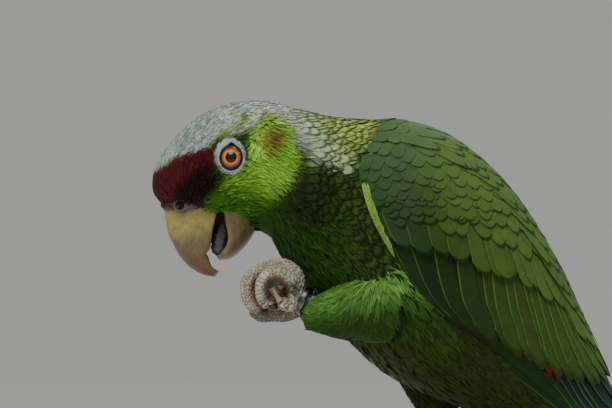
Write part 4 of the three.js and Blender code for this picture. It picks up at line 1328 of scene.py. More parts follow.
# A pad between the flank and the wing's coverts, so that nothing shows through between the feathers.
def wingPad(side):
    t, turn = grid(np.linspace(0, 1, 40), np.arange(64) * fullTurn / 64)
    angle = 50 + 46 * np.cos(turn)
    front = frontOf(angle) + 0.25
    s = front + (np.maximum(covertsEnd(angle), front + 0.3) - front - 0.2) * t
    outer = wingCoat(side)(s, angle, -1.3 - 2.7 * ramp(t, 0.45, 0.8))
    inner = wingSurface(side)(s, angle, -4.5)
    return closedGrid(np.where((np.sin(turn) > 0)[..., None], outer, inner))


# One closed skin under the coat, from bill to tail and with the feet, half as bright as the coat.
def makeSkin():
    shapes = [loftSkin(underCoat, 0, 17, 120, 96, coatDepth),
              loftSkin(rumpSurface, 0, 3.2, 40, 48, lambda s: 2.2 + 0 * s)]
    for side in sideSigns:
        (*hip, width), *others = thighPaths[side]
        shapes.append(limbShape([[*hip, width - 5], *others], hubs[side], -2.2))
    shapes += [wingPad(side) for side in sideSigns.values()]
    points, faces, _ = remesh("skin", shapes, 1.15, 2)
    x, y, z = points.T
    legs = ramp(x, -4, -22) * ramp(z, 199, 192) * ramp(z - x, 186, 196)
    tint = mix(markings(points), plumage["thigh"], legs * ramp(np.abs(y), 12, 16)) * 0.5
    lots = [(points, faces, tint)] + [makeFoot(side) for side in sideSigns]
    points, faces = joinShapes([lot[:2] for lot in lots])
    tint = np.vstack([lot[2] for lot in lots])
    toes = [f"toe_{side}_{toe}" for side in sideSigns for toe in range(1, 5)]
    limbs = [f"{part}_{side}" for part in ("thigh", "tarsus") for side in sideSigns]
    nodes = ["head", "neck", "trunk", *limbs, *toes]
    addPiece("skin", (points, faces), birdSkin, "foot_skin", nodes, tint=tint)
    print("skin", len(faces) * 2, "triangles")


makeSkin()
print("skin made")


upperBill = np.array([
    [-91.9, 216.8, -73.2, 216.9, 9.3], [-91.3, 212.6, -73.8, 213.3, 9.0], [-90.4, 207.5, -74.9, 208.5, 8.0],
    [-88.7, 203.7, -75.4, 205.0, 7.0], [-86.2, 199.3, -75.9, 201.9, 5.8], [-82.5, 195.4, -76.4, 199.2, 4.3],
    [-78.0, 193.0, -75.2, 195.9, 2.8], [-74.2, 192.3, -72.8, 194.3, 1.3],
])
lowerBill = np.array([
    [-70.6, 219.5, -57.6, 214.6, 8.8], [-71.1, 216.1, -59.5, 211.2, 8.6], [-70.6, 211.2, -60.7, 207.5, 8.3],
    [-69.7, 207.1, -63.1, 203.7, 7.6], [-70.0, 204.0, -65.9, 200.6, 6.6], [-71.4, 201.6, -69.3, 198.5, 5.2],
    [-73.5, 199.5, -72.8, 198.0, 3.6],
])
billForm = {"edge": 34.0, "edgeTurn": 52.0, "upperTrough": 0.75, "lowerTrough": 1.15, "notch": 0.9,
            "notchAt": 4.45, "notchWidth": 0.33}


# A horn sheath with a trough on its mouth side: q is the angle from the middle of that side. From
# the cutting edge outwards the ring is an oval, and inside it the wall sinks by the trough's depth.
def sheathPoint(stations, s, q, mouth, trough, notch=0.0):
    row = splineAt(stations, s)
    near, far = (row[..., 0:2], row[..., 2:4]) if mouth == "back" else (row[..., 2:4], row[..., 0:2])
    turn, edge = np.abs(q), billForm["edge"]
    share = np.clip((turn - edge) / (180 - edge), 0, 1)
    depth = np.cos(math.pi * share)
    wide = np.sin(np.radians(billForm["edgeTurn"] + (180 - billForm["edgeTurn"]) * share))
    inside = turn < edge
    sunk = 1 - trough * (1 - (turn / edge) ** 2)
    depth = np.where(inside, sunk, depth)
    wide = np.where(inside, math.sin(math.radians(billForm["edgeTurn"])) * 0.92 * turn / edge, wide)
    flat = (near + far) / 2 + (near - far) / 2 * depth[..., None]
    flat = flat - unit(near - far) * (notch * np.maximum(depth, 0) ** 2)[..., None]
    return np.stack([flat[..., 0], row[..., 4] * wide * np.sign(q + 1e-9), flat[..., 1]], -1)


# One half of the bill, its notch a bell curve of s. flow is the distance along the horn and round it.
def addBill(name, stations, mouth, trough, tint, node):
    last = len(stations) - 1
    s, q = grid(np.linspace(0, 1, 150) * last, np.linspace(-180, 180, 120, endpoint=False))
    deep = trough * ramp(s, last, last - 2.2)
    notch = billForm["notch"] * np.exp(-((s - billForm["notchAt"]) / billForm["notchWidth"]) ** 2)
    points = sheathPoint(stations, s, q, mouth, deep, notch if mouth == "belly" else 0 * s)
    along = pathLengths(points[:, 0])[:, None] + 0 * q
    flow = np.stack([along, q / 57.3 * splineAt(stations, s)[..., 4], 0 * q], -1)
    points, faces = closedGrid(points)
    flow = np.vstack([flow.reshape(-1, 3), flow[0].mean(0), flow[-1].mean(0)])
    q = np.append(q.ravel(), [0, 0])
    s = np.append(s.ravel(), [0, last])
    stored = {"tint": tint(points, s, q), "flow": flow}
    addPiece(name, (points, faces), hornFinish, "bill_horn", [node], **stored)


billTones = {
    "ochre": tone(144, 130, 68),
    "bone": tone(108, 98, 66),
    "pink": tone(114, 96, 64),
    "rust": tone(92, 54, 30),
    "pale": tone(164, 150, 112),
    # mouth: painted shade for the bills' side inside the mouth
    "mouth": tone(30, 22, 22),
    "olive": tone(128, 118, 76),
}


# Colours by s from the root to the tip, and by q from the mouth's side at 0 to the outside at 180. The
# mouth's side is darkened as painted shade.
def upperTint(points, s, q):
    q = np.abs(q)
    outer = ramp(q, 60, 150)
    return layered(
        billTones["ochre"] + 0 * points, billTones,
        ("bone", ramp(s, 1.2, 3.2)),
        ("rust", ramp(s, 2.8, 5.2) * (0.45 + 0.55 * outer)),
        ("rust", 0.85 * outer * ramp(s, 1.8, 3.4) * ramp(q, 110, 168)),
        ("pale", 0.5 * ramp(q, 62, 40) * ramp(s, 5.5, 3.0)),
        ("pale", 0.4 * ramp(s, 6.6, 7.0)),
        ("mouth", 0.9 * ramp(q, 34, 26)))


def lowerTint(points, s, q):
    q = np.abs(q)
    outer = ramp(q, 90, 170)
    return layered(
        billTones["olive"] + 0 * points, billTones,
        ("pink", ramp(s, 0.5, 3.0) * (1 - 0.6 * outer)),
        ("rust", 0.5 * outer * ramp(s, 1.5, 4.5)),
        ("pale", 0.55 * ramp(q, 70, 40)),
        ("mouth", 0.9 * ramp(q, 34, 26)))


# Layered horn: streaks along the growth, faint rings across it, flaked pale patches and fine scratches.
def makeHornLayers():
    net, into, out = newGroup("hornLayers", Tint="Color", Flow="Vector", Place="Vector", Flakes="Float")
    streaks = net.noise(net.stretch(into["Flow"], (0.18, 1.5, 1)), 1.0, 4, 0.6, 0.6)
    rings = net.noise(net.stretch(into["Flow"], (1.3, 0.16, 1)), 1.0, 3, 0.6, 0.8)
    cloud = net.noise(into["Place"], 190, 4, 0.6)
    scratches = net.noise(net.stretch(into["Flow"], (0.35, 5.0, 1)), 1.0, 3, 0.75, 1.5)
    mark = net.span(scratches, 0.66, 0.74)
    shade = net.times(net.span(streaks, 0.3, 0.7, 0.84, 1.12), net.span(rings, 0.3, 0.7, 0.92, 1.05))
    shade = net.times(shade, net.span(cloud, 0.3, 0.7, 0.72, 1.22))
    base = net.scaled(into["Tint"], shade)
    flake = net.span(net.noise(into["Place"], 420, 3, 0.7), 0.56, 0.64)
    flake = net.times(flake, into["Flakes"])
    pale = net.maths("MAXIMUM", net.times(mark, 0.22), flake)
    net.put(out["Color"], net.blend(pale, base, (0.5, 0.43, 0.3, 1)))
    height = net.maths("MULTIPLY_ADD", streaks, 0.7, rings)
    height = net.maths("SUBTRACT", height, net.times(mark, 0.4))
    net.put(out["Height"], net.maths("SUBTRACT", height, net.times(flake, 0.6)))
    rough = net.span(cloud, 0.2, 0.8, 0.34, 0.52)
    net.put(out["Roughness"], net.maths("ADD", rough, net.times(pale, 0.3)))
    return net.tree


hornLayers = makeHornLayers()


def hornMaterial(name, flakes, depth):
    finish, net, surface = newFinish(name, **{"Specular IOR Level": 0.45})
    made = net.use(hornLayers, Tint=net.attribute("tint", "Color"), Flow=net.attribute("flow"),
                      Place=net.place(), Flakes=flakes)
    dress(net, surface, made["Color"], made["Roughness"], made["Height"], 0.5, depth)
    return finish


hornFinish = hornMaterial("billHorn", 0.07, 0.0003)
clawFinish = hornMaterial("clawHorn", 0.15, 0.0002)
addBill("billUpper", upperBill, "belly", billForm["upperTrough"], upperTint, "bill_upper")
addBill("billLower", lowerBill, "back", billForm["lowerTrough"], lowerTint, "bill_lower")

claw = {"base": 1.55, "point": 0.16, "flat": 0.82, "dark": tone(58, 48, 42), "pale": tone(168, 146, 122)}


# A claw tapers along its path as 1 - t to the power 0.8, and is a little narrower than deep.
def addClaw(side, toe):
    centre = np.asarray(clawPaths[side][toe], float)
    path = np.column_stack([centre, np.zeros(len(centre))])
    surface = limbSurface(path, hubs[side])
    t, turn = grid(np.linspace(0, 1, 40), np.arange(24) * 15.0)
    radius = claw["point"] + (claw["base"] - claw["point"]) * (1 - t) ** 0.8
    radius = radius * (1 - (1 - claw["flat"]) * np.sin(np.radians(turn)) ** 2)
    flow = np.stack([t * 8, turn / 57.3 * 1.2, 0 * t], -1).reshape(-1, 3)
    points, faces = closedGrid(surface(t, turn, radius))
    tint = mix(claw["dark"] + 0 * points, claw["pale"], np.append(ramp(t, 0.55, 1.0).ravel(), [0, 1]))
    if side == "left" and toe == 1:  # worn pale
        tint = mix(tint, claw["pale"], 0.8 + 0 * points[:, 0])
    name = f"claw_{side}_{toe}"
    stored = {"tint": tint, "flow": np.vstack([flow, flow[0], flow[-1]])}
    addPiece(f"{name}_horn", (points, faces), clawFinish, "claw_horn", [name], **stored)


for sideName in sideSigns:
    for toeNumber in range(1, 5):
        addClaw(sideName, toeNumber)
print("horn made")


cereStations = np.array([
    [-92.2, 218.8, -72.4, 217.9, 8.7],
    [-92.6, 217.6, -72.6, 217.2, 9.7],
    [-91.9, 215.2, -73.2, 215.9, 9.5],
])
nostril = {"x": -85.4, "y": 6.9, "z": 217.3, "mound": 3.2, "rim": 2.1, "hole": 1.4, "depth": 2.0,
           "facing": (-0.35, 1.0, -0.12)}
# hole: painted shade for the nostril's inside
cereTones = {"skin": tone(62, 56, 50), "dark": tone(24, 18, 17), "rim": tone(82, 78, 72),
             "hole": tone(40, 20, 16)}


# Two mounds, and in each a hole inside a low rim, by the distance d from the nostril's axis.
def makeCere():
    def surface(s, angle, lift=0.0):
        return loftPoint(cereStations, s, angle, lift)
    middles = [np.array([nostril["x"], side * nostril["y"], nostril["z"]]) for side in sideSigns.values()]
    shapes = [loftSkin(surface, 0, 2, 24, 72, lambda s: 0 * s)]
    shapes += [ballShape(at, nostril["mound"] * np.array([1, 0.95, 0.9])) for at in middles]
    points, faces, normals = remesh("cere", shapes, 0.32, 5)
    tint = mix(cereTones["skin"] + 0 * points, cereTones["dark"], ramp(points[:, 0], -82, -76))
    for side, middle in zip(sideSigns.values(), middles):
        facing = unit(np.array(nostril["facing"]) * [1, side, 1])
        away = points - (middle + facing * nostril["mound"])
        along = dot(away, facing[None])
        d = np.linalg.norm(away - along[:, None] * facing, axis=-1)
        near = ramp(np.abs(along), 3.2, 2.2)
        rise = 0.2 * np.exp(-((d - nostril["rim"]) / 0.7) ** 2)
        rise = rise - nostril["depth"] * ramp(d, nostril["hole"] + 0.35, nostril["hole"] - 0.4)
        points = points + facing * (rise * near)[:, None]
        low = ramp(points[:, 2] - nostril["z"], 1.6, -1.0)
        tint = mix(tint, cereTones["rim"], low * near * np.exp(-((d - nostril["rim"] - 0.1) / 0.8) ** 2))
        # The hole's inside is darkened as painted shade.
        tint = mix(tint, cereTones["hole"], near * ramp(d, nostril["hole"] + 0.4, nostril["hole"]))
    points = points + normals * (0.06 * flecks(2.6 * points))[:, None]
    addPiece("cereSkin", (points, faces), birdSkin, "cere_skin", ["cere"], tint=tint)


bristleLook = {"unwrap": ((0, -180), (3, 180)), "length": 2.2, "width": 0.7, "strips": 2, "rows": 3,
               "fray": 1.0, "rootLift": -0.15, "tipLift": 0.35, "ruffle": 0.2, "tipDark": 0.2,
               "unruly": 0.2, "mottle": 0.25}


# Short bristles that rise from the cere and lie back over the forehead's first feathers.
def layBristles():
    stations = np.vstack([[-93.8, 221.6, -72.0, 221.0, 8.6], cereStations])

    def surface(s, angle, lift=0.0):
        return loftPoint(stations, s, angle, lift)

    def heading(point, alongS, angle):
        return np.array([0.6, 0.0, 1.0]) + 0 * point

    def tintAt(point):
        share = ramp(point[..., 0], -85, -92) * 0.7
        return mix(cereTones["skin"] * 2.0 + 0 * point, plumage["maroon"], share)
    s, angle = rowsOver(surface, 1.1, 2.92, -125, 125, 0.62, np.random.default_rng(75))
    at = surface(s, angle)
    keep = np.hypot(at[:, 0] - nostril["x"], at[:, 2] - nostril["z"] - 0.4) > nostril["rim"] + 0.5
    look = {**bristleLook, "heading": heading}
    lots = [layVanes(surface, s[keep], angle[keep], look, tintAt, 76)]
    addCoat("cereBristles", lots, faceFeather, "head_plumage")


makeCere()
layBristles()

# Middle lines of the tongue and of the mouth's lining, as x, y, z and radius.
tonguePath = [[-68.6, 0, 215.5, 3.6], [-71.2, 0, 210, 3.7], [-72.4, 0, 205, 3.7], [-72.9, 0, 202.4, 3]]
liningPath = [[-75.5, 0, 218.5, 5.0], [-72.5, 0, 215.0, 5.6], [-67.5, 0, 213.0, 5.4], [-63.5, 0, 212.5, 4.6]]


# A thick round tongue with a groove along its front, grey at the tip and painted black as shade inside the
# mouth.
def makeTongue():
    points, faces = limbShape(tonguePath, (-40, 0, 205), rows=40, columns=48)
    groove = 0.7 * np.exp(-(points[:, 1] / 1.1) ** 2) * ramp(points[:, 0], -70, -75)
    points[:, 0] += groove + 0.3 * flecks(1.3 * points)
    points[:, 1] *= 1.25
    finish, net, surface = newFinish("tongueSkin", **{"Coat Weight": 0.5, "Coat Roughness": 0.2})
    place = net.place()
    grain = net.noise(place, 900, 4, 0.6)
    patch = net.noise(place, 230, 3, 0.6)
    pale = net.blend(net.span(patch, 0.35, 0.75), (0.014, 0.015, 0.016, 1), (0.042, 0.045, 0.047, 1))
    # The tongue's own grey where it is lit outside the mouth, black painted shade inside it.
    lit = net.span(net.parts(place)[2], 0.209, 0.2045)
    tint = net.blend(lit, (0.005, 0.004, 0.004, 1), pale)
    dress(net, surface, tint, net.span(grain, 0.2, 0.8, 0.35, 0.6), grain, 0.5, 0.0003)
    addPiece("tongueFlesh", (points, faces), finish, "tongue_skin", ["tongue"])


# The dark lining that closes the mouth behind the tongue, from the palate to the floor of the lower bill. Its
# near black is painted shade for the inside of the mouth.
def makeMouth():
    points, faces = limbShape(liningPath, rows=16, columns=32)
    points[:, 1] *= 1.1
    finish, net, surface = newFinish("mouthLining", **{"Specular IOR Level": 0.1})
    grain = net.noise(net.place(), 600, 4, 0.6)
    tint = net.blend(grain, (0.004, 0.003, 0.003, 1), (0.02, 0.013, 0.012, 1))
    dress(net, surface, tint, 0.75, grain, 0.4, 0.0003)
    addPiece("mouthLining", (points, faces), finish, "tongue_skin")


makeTongue()
makeMouth()
print("cere and tongue made")


eye = {"x": -68.0, "y": 14.2, "z": 233.0, "radius": 5.2, "cornea": 0.35, "iris": 3.4,
       "look": (-0.1, 1.0, 0.12)}
lids = {"across": 3.85, "below": 4.15, "above": 4.1, "peak": 0.9, "wide": 5.9, "tall": 6.9,
        "shiftX": -0.75, "shiftZ": 0.35, "columns": 160, "rows": 44, "backRows": 8}
lidTones = {"skin": tone(160, 176, 170), "grey": tone(92, 98, 94), "margin": tone(34, 20, 16),
            "fold": tone(84, 90, 90)}


# An eye's middle, the way it looks, and the directions across and up at right angles to that.
def eyeAxes(side):
    ahead = unit(np.array(eye["look"]) * [1, side, 1])
    across = unit(np.array([1.0, 0, 0]) - ahead[0] * ahead)
    up = unit(np.array([0, 0, 1.0]) - ahead[2] * ahead)
    up = unit(up - dot(up, across) * across)
    return np.array([eye["x"], side * eye["y"], eye["z"]]), ahead, across, up


# A ball whose front bulges by cornea exp(-(tilt / 38)^2), with its iris measured off the look line.
def makeEye(name, side):
    centre, ahead, across, up = eyeAxes(side)
    tilt, turn = grid(np.linspace(0, 178, 90)[1:], np.arange(96) * 3.75)
    radius = eye["radius"] + eye["cornea"] * np.exp(-(tilt / 38) ** 2)
    t, a = np.radians(tilt), np.radians(turn)
    out = radius * np.sin(t)
    shape = (radius * np.cos(t))[..., None] * ahead + (out * np.cos(a))[..., None] * across
    shape = shape + (out * np.sin(a))[..., None] * up
    ring = np.where(tilt < 90, out, 9) / eye["iris"]
    iris = np.stack([ring, np.cos(a), np.sin(a)], -1).reshape(-1, 3)
    iris = np.vstack([iris, [0, 0, 0], [3, 0, 0]])
    ball = closedGrid(centre + shape)
    addPiece(f"eyeball_{name}", ball, eyeFinish, "eye_gloss", [f"eye_{name}"], iris=iris)


# The colour by the distance from the look line: pupil, orange iris with fibres, dark rim, white.
def makeEyeFinish():
    values = {"Coat Weight": 1.0, "Coat Roughness": 0.02, "Coat IOR": 1.36, "Roughness": 0.3,
              "Specular IOR Level": 0.1}
    finish, net, surface = newFinish("eyeGloss", **values)
    iris = net.attribute("iris")
    ring = net.parts(iris)[0]
    fibres = net.noise(net.stretch(iris, (0.8, 9, 9)), 1.0, 4, 0.65)
    tint = net.blend(net.span(ring, 0.66, 0.84), (0.82, 0.34, 0.03, 1), (0.42, 0.08, 0.008, 1))
    tint = net.blend(net.span(fibres, 0.3, 0.75), tint, (0.2, 0.045, 0.01, 1))
    tint = net.blend(net.span(ring, 0.9, 0.97), tint, (0.04, 0.012, 0.008, 1))
    tint = net.blend(net.span(ring, 1.02, 1.2), tint, (0.03, 0.022, 0.018, 1))
    tint = net.blend(net.span(ring, 0.56, 0.61, 1, 0), tint, (0.002, 0.002, 0.003, 1))
    net.put(surface["Base Color"], tint)
    return finish


eyeFinish = makeEyeFinish()


# Where the body's surface stands at x and z, from the nearest four of many known points.
def sideDepth(x, z):
    s, angle = grid(np.linspace(3, 8, 120), np.linspace(35, 125, 160))
    known = bodySurface(s, angle).reshape(-1, 3)
    gap = np.hypot(x.reshape(-1, 1) - known[:, 0], z.reshape(-1, 1) - known[:, 2])
    near = np.argpartition(gap, 4, axis=1)[:, :4]
    weight = 1 / (np.take_along_axis(gap, near, 1) + 0.05)
    return ((known[near, 1] * weight).sum(1) / weight.sum(1)).reshape(x.shape)


# The lids: round the eye by turn, and from the margin at share 0 over folded skin to the feathers
# at share 1, then back beneath it to close the ring.
def makeLids(name, side):
    centre, ahead, across, up = eyeAxes(side)
    columns = lids["columns"]
    back = np.linspace(1, 0, lids["backRows"])[1:-1]
    share, turn = grid(np.concatenate([np.linspace(0, 1, lids["rows"]), back]),
                       np.arange(columns) * 360 / columns)
    beneath = np.sin(np.pi * np.linspace(0, 1, lids["backRows"])[1:-1])
    under = np.concatenate([np.zeros(lids["rows"]), beneath])[:, None] + 0 * turn
    a = np.radians(turn)
    peak = lids["peak"] * np.exp(-((turn - 90) / 17) ** 2)
    innerX = lids["across"] * np.cos(a)
    innerZ = np.where(np.sin(a) > 0, lids["above"], lids["below"]) * np.sin(a) + peak
    outerX = lids["wide"] * np.cos(a) + lids["shiftX"]
    outerZ = lids["tall"] * np.sin(a) + lids["shiftZ"]
    px, pz = innerX + (outerX - innerX) * share, innerZ + (outerZ - innerZ) * share
    flat = centre + px[..., None] * across + pz[..., None] * up
    skinY = side * sideDepth(flat[..., 0], flat[..., 2])
    outerLift = (skinY - flat[..., 1]) / ahead[1] - 0.75
    ball = np.sqrt(np.maximum(eye["radius"] ** 2 - np.hypot(px, pz) ** 2, 1.0)) + 0.1
    rise = np.maximum(ball, 2.6) + 0.35
    lift = rise + (outerLift - rise) * ramp(share, 0.0, 0.6)
    lift = lift + 0.6 * np.sin(np.pi * np.clip(share, 0, 1)) ** 0.7
    folds = np.sin(fullTurn * (3.4 * share ** 0.85) + 0.5 * np.sin(3 * a + 1) + 0.3 * np.sin(7 * a))
    folds = folds * ramp(share, 0.08, 0.2) * ramp(share, 1.0, 0.85)
    pebble = 0.05 * np.sin(40 * a + 14 * share) * ramp(share, 0.1, 0.3)
    lift = lift + 0.15 * folds + pebble - 2.4 * under
    shape = flat + lift[..., None] * ahead
    first = np.arange(columns)
    ahead = (first + 1) % columns
    final = (len(share) - 1) * columns
    seam = np.stack([final + first, final + ahead, ahead, first], -1)
    points = shape.reshape(-1, 3)
    faces = outward(points, np.vstack([gridFaces(len(share), columns, wrap=True), seam]))
    # Painted shade: darker in the folds' hollows, greyer at the outer edge under the feathers, and greyer at
    # the lower front, where it is partly the skin's own grey by the lores.
    lowFront = ramp(np.cos(a - math.radians(215)), 0.2, 1.0)
    tint = layered(
        lidTones["skin"] + 0 * shape, lidTones,
        ("fold", 0.5 * ramp(-folds, 0.2, 1.0)),
        ("grey", 0.85 * lowFront * ramp(share, 0.2, 0.6)),
        ("grey", 0.5 * ramp(share, 0.75, 1.0) + 0.35 * ramp(np.abs(share - 0.42), 0.1, 0.0)),
        ("margin", ramp(share, 0.24, 0.08))).reshape(-1, 3)
    addPiece(f"lids_{name}", (points, faces), birdSkin, "bare_skin", [f"eye_ring_{name}"], tint=tint)


for sideName, sideSign in sideSigns.items():
    makeEye(sideName, sideSign)
    makeLids(sideName, sideSign)
print("eyes made")


bandForm = {"at": (-43.2, -18.3, 184.2), "inner": 4.2, "outer": 5.3, "width": 2.5, "slit": 0.12,
            "squareness": 0.7}


# A rolled ring: a rounded strip's profile carried round the shank, with a narrow slit where its ends meet.
def makeBand():
    heelPoint, anklePoint = (np.array(row[:3]) for row in shanks["left"][:2])
    ahead = unit(anklePoint - heelPoint)
    out = unit(np.cross(ahead, [0, 1, 0]))
    beside = np.cross(ahead, out)
    a = np.linspace(0, fullTurn, 24, endpoint=False)
    profile = np.stack([np.cos(a), np.sin(a)], -1)
    profile = np.sign(profile) * np.abs(profile) ** bandForm["squareness"]
    middle = (bandForm["inner"] + bandForm["outer"]) / 2
    thick = (bandForm["outer"] - bandForm["inner"]) / 2
    slit = bandForm["slit"] / middle
    turn = np.linspace(slit, fullTurn - slit, 97)[:, None, None]
    radius = middle + thick * profile[None, :, 0]
    height = bandForm["width"] / 2 * profile[None, :, 1]
    ray = out * np.cos(turn) + beside * np.sin(turn)
    points, faces = closedGrid(np.array(bandForm["at"]) + ray * radius[..., None] + ahead * height[..., None])
    finish, net, surface = newFinish("bandSteel", Metallic=1.0)
    place = net.place()
    brushed = net.noise(net.stretch(place, (400, 400, 2600), (0, 0.5, 0)), 1.0, 3, 0.6)
    worn = net.noise(place, 500, 4, 0.6)
    tint = net.blend(net.span(worn, 0.4, 0.75), (0.05, 0.055, 0.06, 1), (0.15, 0.155, 0.16, 1))
    dress(net, surface, tint, net.span(worn, 0.3, 0.8, 0.24, 0.42), brushed, 0.15, 0.0001)
    addPiece("legBandRing", (points, faces), finish, "band_steel", ["leg_band"])


makeBand()
print("band made")


branch = {"radius": 13.0, "length": 118.0, "height": 112.0, "knot": 1.1, "relief": 0.7, "chamfer": 0.7,
          "ridges": 9, "knots": ((-38, 2.2), (31, 4.4), (44, 0.6))}


# A branch along Y: the radius waves twice and three times round it, and the bark's ridges run along
# it. The sawn ends are discs, and cut is 1 on them.
def makeBranch():
    rng = np.random.default_rng(90)
    y, turn = grid(np.linspace(-0.5, 0.5, 300) * branch["length"], np.arange(220) * fullTurn / 220)
    t = y / branch["length"] + 0.5
    wave = np.sin(3 * turn + 5 * t) + np.sin(2 * turn - 9 * t)
    radius = branch["radius"] - branch["knot"] * (0.5 + 0.18 * wave)
    relief = 0 * y
    for k in range(branch["ridges"]):
        rate, drift, phase = rng.integers(5, 38), rng.uniform(-14, 14), rng.uniform(0, fullTurn)
        ridge = np.sin(0.5 * rate * turn + drift * t + phase + 1.2 * np.sin(7 * t + k))
        relief = relief + np.abs(ridge) / branch["ridges"]
    relief = ramp(relief, 0.5, 0.8)
    for at, side in branch["knots"]:
        d = np.hypot(y - at, np.angle(np.exp(1j * (turn - side))) * branch["radius"])
        relief = relief - 0.8 * ramp(np.abs(d - 4.2), 1.6, 0) + 0.6 * ramp(d, 4, 1)
    edge = ramp(np.abs(t - 0.5), 0.494, 0.5)
    radius = radius - branch["relief"] * (1 - relief) - branch["chamfer"] * edge
    bark = np.stack([radius * np.cos(turn), y, branch["height"] + radius * np.sin(turn)], -1)
    shares = np.array([0.93, 0.9, 0.6, 0.3, 0.06])[:, None, None]
    first, final = (ring.mean(0) + (ring - ring.mean(0)) * shares for ring in (bark[0], bark[-1]))
    shape = closedGrid(np.concatenate([first[::-1], bark, final]))
    sawn = np.ones(first.shape[:2])
    cut = np.concatenate([sawn, ramp(np.abs(t - 0.5), 0.4985, 0.4999), sawn])
    cut = np.append(cut.ravel(), [1, 1])
    cut = np.stack([cut, cut, cut], -1)
    addPiece("branch", shape, branchFinish(), "perch_bark", ["perch"], cut=cut)


# Bark with grey clouds and lichen. On the cut, rings are the sine of the distance from the middle.
def branchFinish():
    finish, net, surface = newFinish("branchBark")
    place = net.place()
    long = net.noise(net.stretch(place, (420, 60, 420)), 1.0, 5, 0.65, 0.8)
    cloud = net.noise(place, 60, 4, 0.6)
    bark = net.blend(net.span(long, 0.3, 0.7), (0.05, 0.034, 0.024, 1), (0.2, 0.15, 0.105, 1))
    bark = net.blend(net.span(cloud, 0.5, 0.7, 0, 0.6), bark, (0.26, 0.24, 0.19, 1))
    lichen = net.span(net.noise(place, 150, 4, 0.7), 0.62, 0.68, 0, 0.5)
    bark = net.blend(lichen, bark, (0.3, 0.33, 0.22, 1))
    middle = (0, 0, -branch["height"] * mm)
    middle = net.add("ShaderNodeVectorMath", {0: place, 1: middle}, operation="ADD").outputs[0]
    middle = net.stretch(middle, (1, 0, 1))
    reach = net.add("ShaderNodeVectorMath", {0: middle}, operation="LENGTH").outputs["Value"]
    reach = net.maths("MULTIPLY_ADD", net.noise(place, 90, 3, 0.5), 0.0016, reach)
    rings = net.maths("SINE", net.times(reach, 5200))
    wood = net.blend(net.span(rings, -0.4, 1.0), (0.5, 0.35, 0.2, 1), (0.3, 0.18, 0.09, 1))
    cut = net.add("ShaderNodeSeparateColor", {0: net.attribute("cut", "Color")}).outputs[0]
    tint = net.blend(cut, bark, wood)
    dress(net, surface, tint, net.span(long, 0.2, 0.8, 0.7, 0.92), long, 0.6, 0.0006)
    return finish


makeBranch()


def baseFinish():  # bent grain with long fine pores
    finish, net, surface = newFinish("oiledWood", **{"Coat Weight": 0.25, "Coat Roughness": 0.3})
    place = net.place()
    grain = net.noise(net.stretch(place, (14, 130, 130)), 1.0, 5, 0.6, 1.4)
    pores = net.noise(net.stretch(place, (160, 2200, 2200)), 1.0, 2, 0.6)
    tint = net.blend(net.span(grain, 0.3, 0.7), (0.055, 0.026, 0.013, 1), (0.16, 0.082, 0.04, 1))
    tint = net.blend(net.span(pores, 0.58, 0.7, 0, 0.7), tint, (0.02, 0.01, 0.006, 1))
    dress(net, surface, tint, net.span(grain, 0.2, 0.8, 0.35, 0.5), pores, 0.3, 0.0002)
    return finish


def rodFinish():  # brushed round, with faint clouds
    finish, net, surface = newFinish("rodSteel", Metallic=1.0)
    place = net.place()
    brushed = net.noise(net.stretch(place, (3000, 3000, 40)), 1.0, 3, 0.6)
    cloud = net.noise(place, 70, 3, 0.6)
    tint = net.blend(net.span(cloud, 0.3, 0.7), (0.42, 0.42, 0.43, 1), (0.56, 0.56, 0.56, 1))
    dress(net, surface, tint, net.span(brushed, 0.2, 0.8, 0.26, 0.42), brushed, 0.2, 0.0001)
    return finish


# Each is half an outline of radius and height. Corners are short arcs, so that they catch the light.
stand = {
    "base": [(0.01, 0), (68.6, 0), (69.6, 0.4), (70, 1.4), (70, 4.6), (69.8, 5.4), (69.2, 5.9), (68.4, 6.1),
             (67.9, 6.6), (67.6, 7.4), (67.0, 8.8), (66.0, 10.0), (64.6, 10.9), (63.0, 11.3), (62.3, 11.5),
             (61.8, 11.9), (61, 12), (40, 12), (20, 12), (0.01, 12)],
    "rod": [(0.01, 5), (5, 5), (5, 12), (9.4, 12), (9.9, 12.2), (10, 12.7), (9.8, 13.3), (9.0, 13.7),
            (7.2, 14.1), (6.0, 15.0), (5.3, 16.6), (5.0, 18.6), (5, 40), (5, 70), (5, 92), (5.2, 94.0),
            (6.0, 95.4), (7.2, 96.2), (8.0, 96.8), (8.3, 97.6), (8.1, 98.4), (7.4, 99.2), (5, 100.4),
            (4.9, 106.6), (4.4, 107), (0.01, 107)],
}


# A turned piece: the outline carried round the upright axis.
def makeTurned(name, outline, finish, slot, node):
    radius, height = np.asarray(outline, float).T[..., None]
    turn = np.arange(144) * fullTurn / 144
    rings = np.broadcast_arrays(radius * np.cos(turn), radius * np.sin(turn), height)
    piece = addPiece(name, closedGrid(np.stack(rings, -1)), finish, slot, [node])
    piece.modifiers.new("cornerNormals", "WEIGHTED_NORMAL").weight = 80


makeTurned("stand_turnedBase", stand["base"], baseFinish(), "base_wood", "stand_base")
makeTurned("stand_turnedRod", stand["rod"], rodFinish(), "rod_steel", "stand_rod")
print("branch and stand ready")


# The camera looks along Y at x and z, and the frame there is wide millimetres across.
view = {"x": -42.8, "z": 217.5, "wide": 211.14, "distance": 3.0, "sensor": 36.0}


def makeCamera():
    data = bpy.data.cameras.new("camera")
    data.sensor_width = view["sensor"]
    data.lens = view["sensor"] * view["distance"] / (view["wide"] * mm)
    camera = newObject("camera", data)
    camera.location = (view["x"] * mm, -view["distance"], view["z"] * mm)
    camera.rotation_euler = (math.radians(90), 0, 0)
    bpy.context.scene.camera = camera


# Lengths in metres.
room = {"floorRadius": 8.6, "sweep": 1.5, "columns": 120, "skyColour": (0.8, 0.82, 0.8), "skyLight": 0.6}


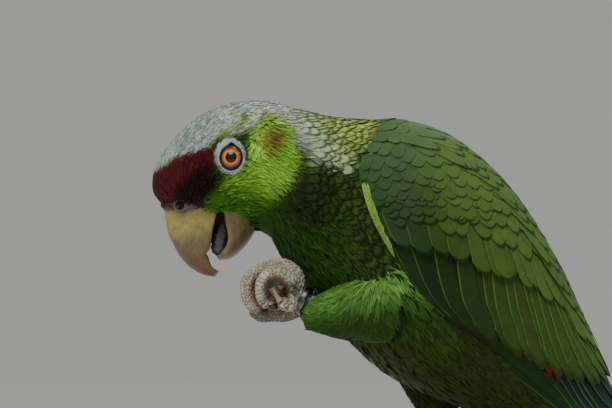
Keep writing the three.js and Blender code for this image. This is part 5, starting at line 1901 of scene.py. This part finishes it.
# A pale floor that is flat to its edge and then sweeps up as a quarter circle.
def makeRoom():
    columns = room["columns"]
    turn = np.linspace(0, fullTurn, columns, endpoint=False)
    bend = np.linspace(0, math.pi / 2, 12)
    reach = np.concatenate([[0.3, 1, 2, 4], room["floorRadius"] + room["sweep"] * np.sin(bend)])[:, None]
    height = np.concatenate([[0, 0, 0, 0], room["sweep"] * (1 - np.cos(bend))])[:, None]
    rings = np.stack(np.broadcast_arrays(np.cos(turn) * reach, np.sin(turn) * reach, height), -1) / mm
    points, faces = closeEnds(rings.reshape(-1, 3), gridFaces(len(reach), columns, wrap=True), columns)
    points[-2] = 0
    mesh = makeMesh("floor", points[:-1], faces[:-columns])
    finish, net, surface = newFinish("paleFloor", Roughness=0.85)
    speckle = net.noise(net.place(), 3.0, 3, 0.5)
    net.put(surface["Base Color"], net.blend(speckle, (0.74, 0.74, 0.72, 1), (0.79, 0.79, 0.77, 1)))
    mesh.materials.append(finish)
    floor = newObject("floor", mesh)
    world = bpy.data.worlds.new("paleRoom")
    bpy.context.scene.world = world
    world.use_nodes = True
    back = world.node_tree.nodes["Background"].inputs
    back["Color"].default_value = (*room["skyColour"], 1)
    back["Strength"].default_value = room["skyLight"]


lamps = {
    "key": {"at": (-0.45, -1.15, 1.85), "size": 1.3, "power": 34.0, "tint": (1.0, 0.97, 0.92)},
    "top": {"at": (0.3, 0.6, 1.5), "size": 0.9, "power": 16.0, "tint": (0.96, 1.0, 0.98)},
}
lampAim = (-0.02, 0.0, 0.2)


def makeLamps():  # round lamps in metres, turned to the bird's middle
    for name, lamp in lamps.items():
        data = bpy.data.lights.new(name, "AREA")
        data.shape = "DISK"
        data.size = lamp["size"]
        data.energy = lamp["power"]
        data.color = lamp["tint"]
        piece = newObject(name, data)
        piece.location = lamp["at"]
        aim = np.array(lampAim) - np.array(lamp["at"])
        flat = math.hypot(aim[0], aim[1])
        piece.rotation_euler = (math.atan2(flat, -aim[2]), 0, math.atan2(aim[1], aim[0]) - math.pi / 2)


makeCamera()
makeRoom()
makeLamps()
print("room, light and camera ready")
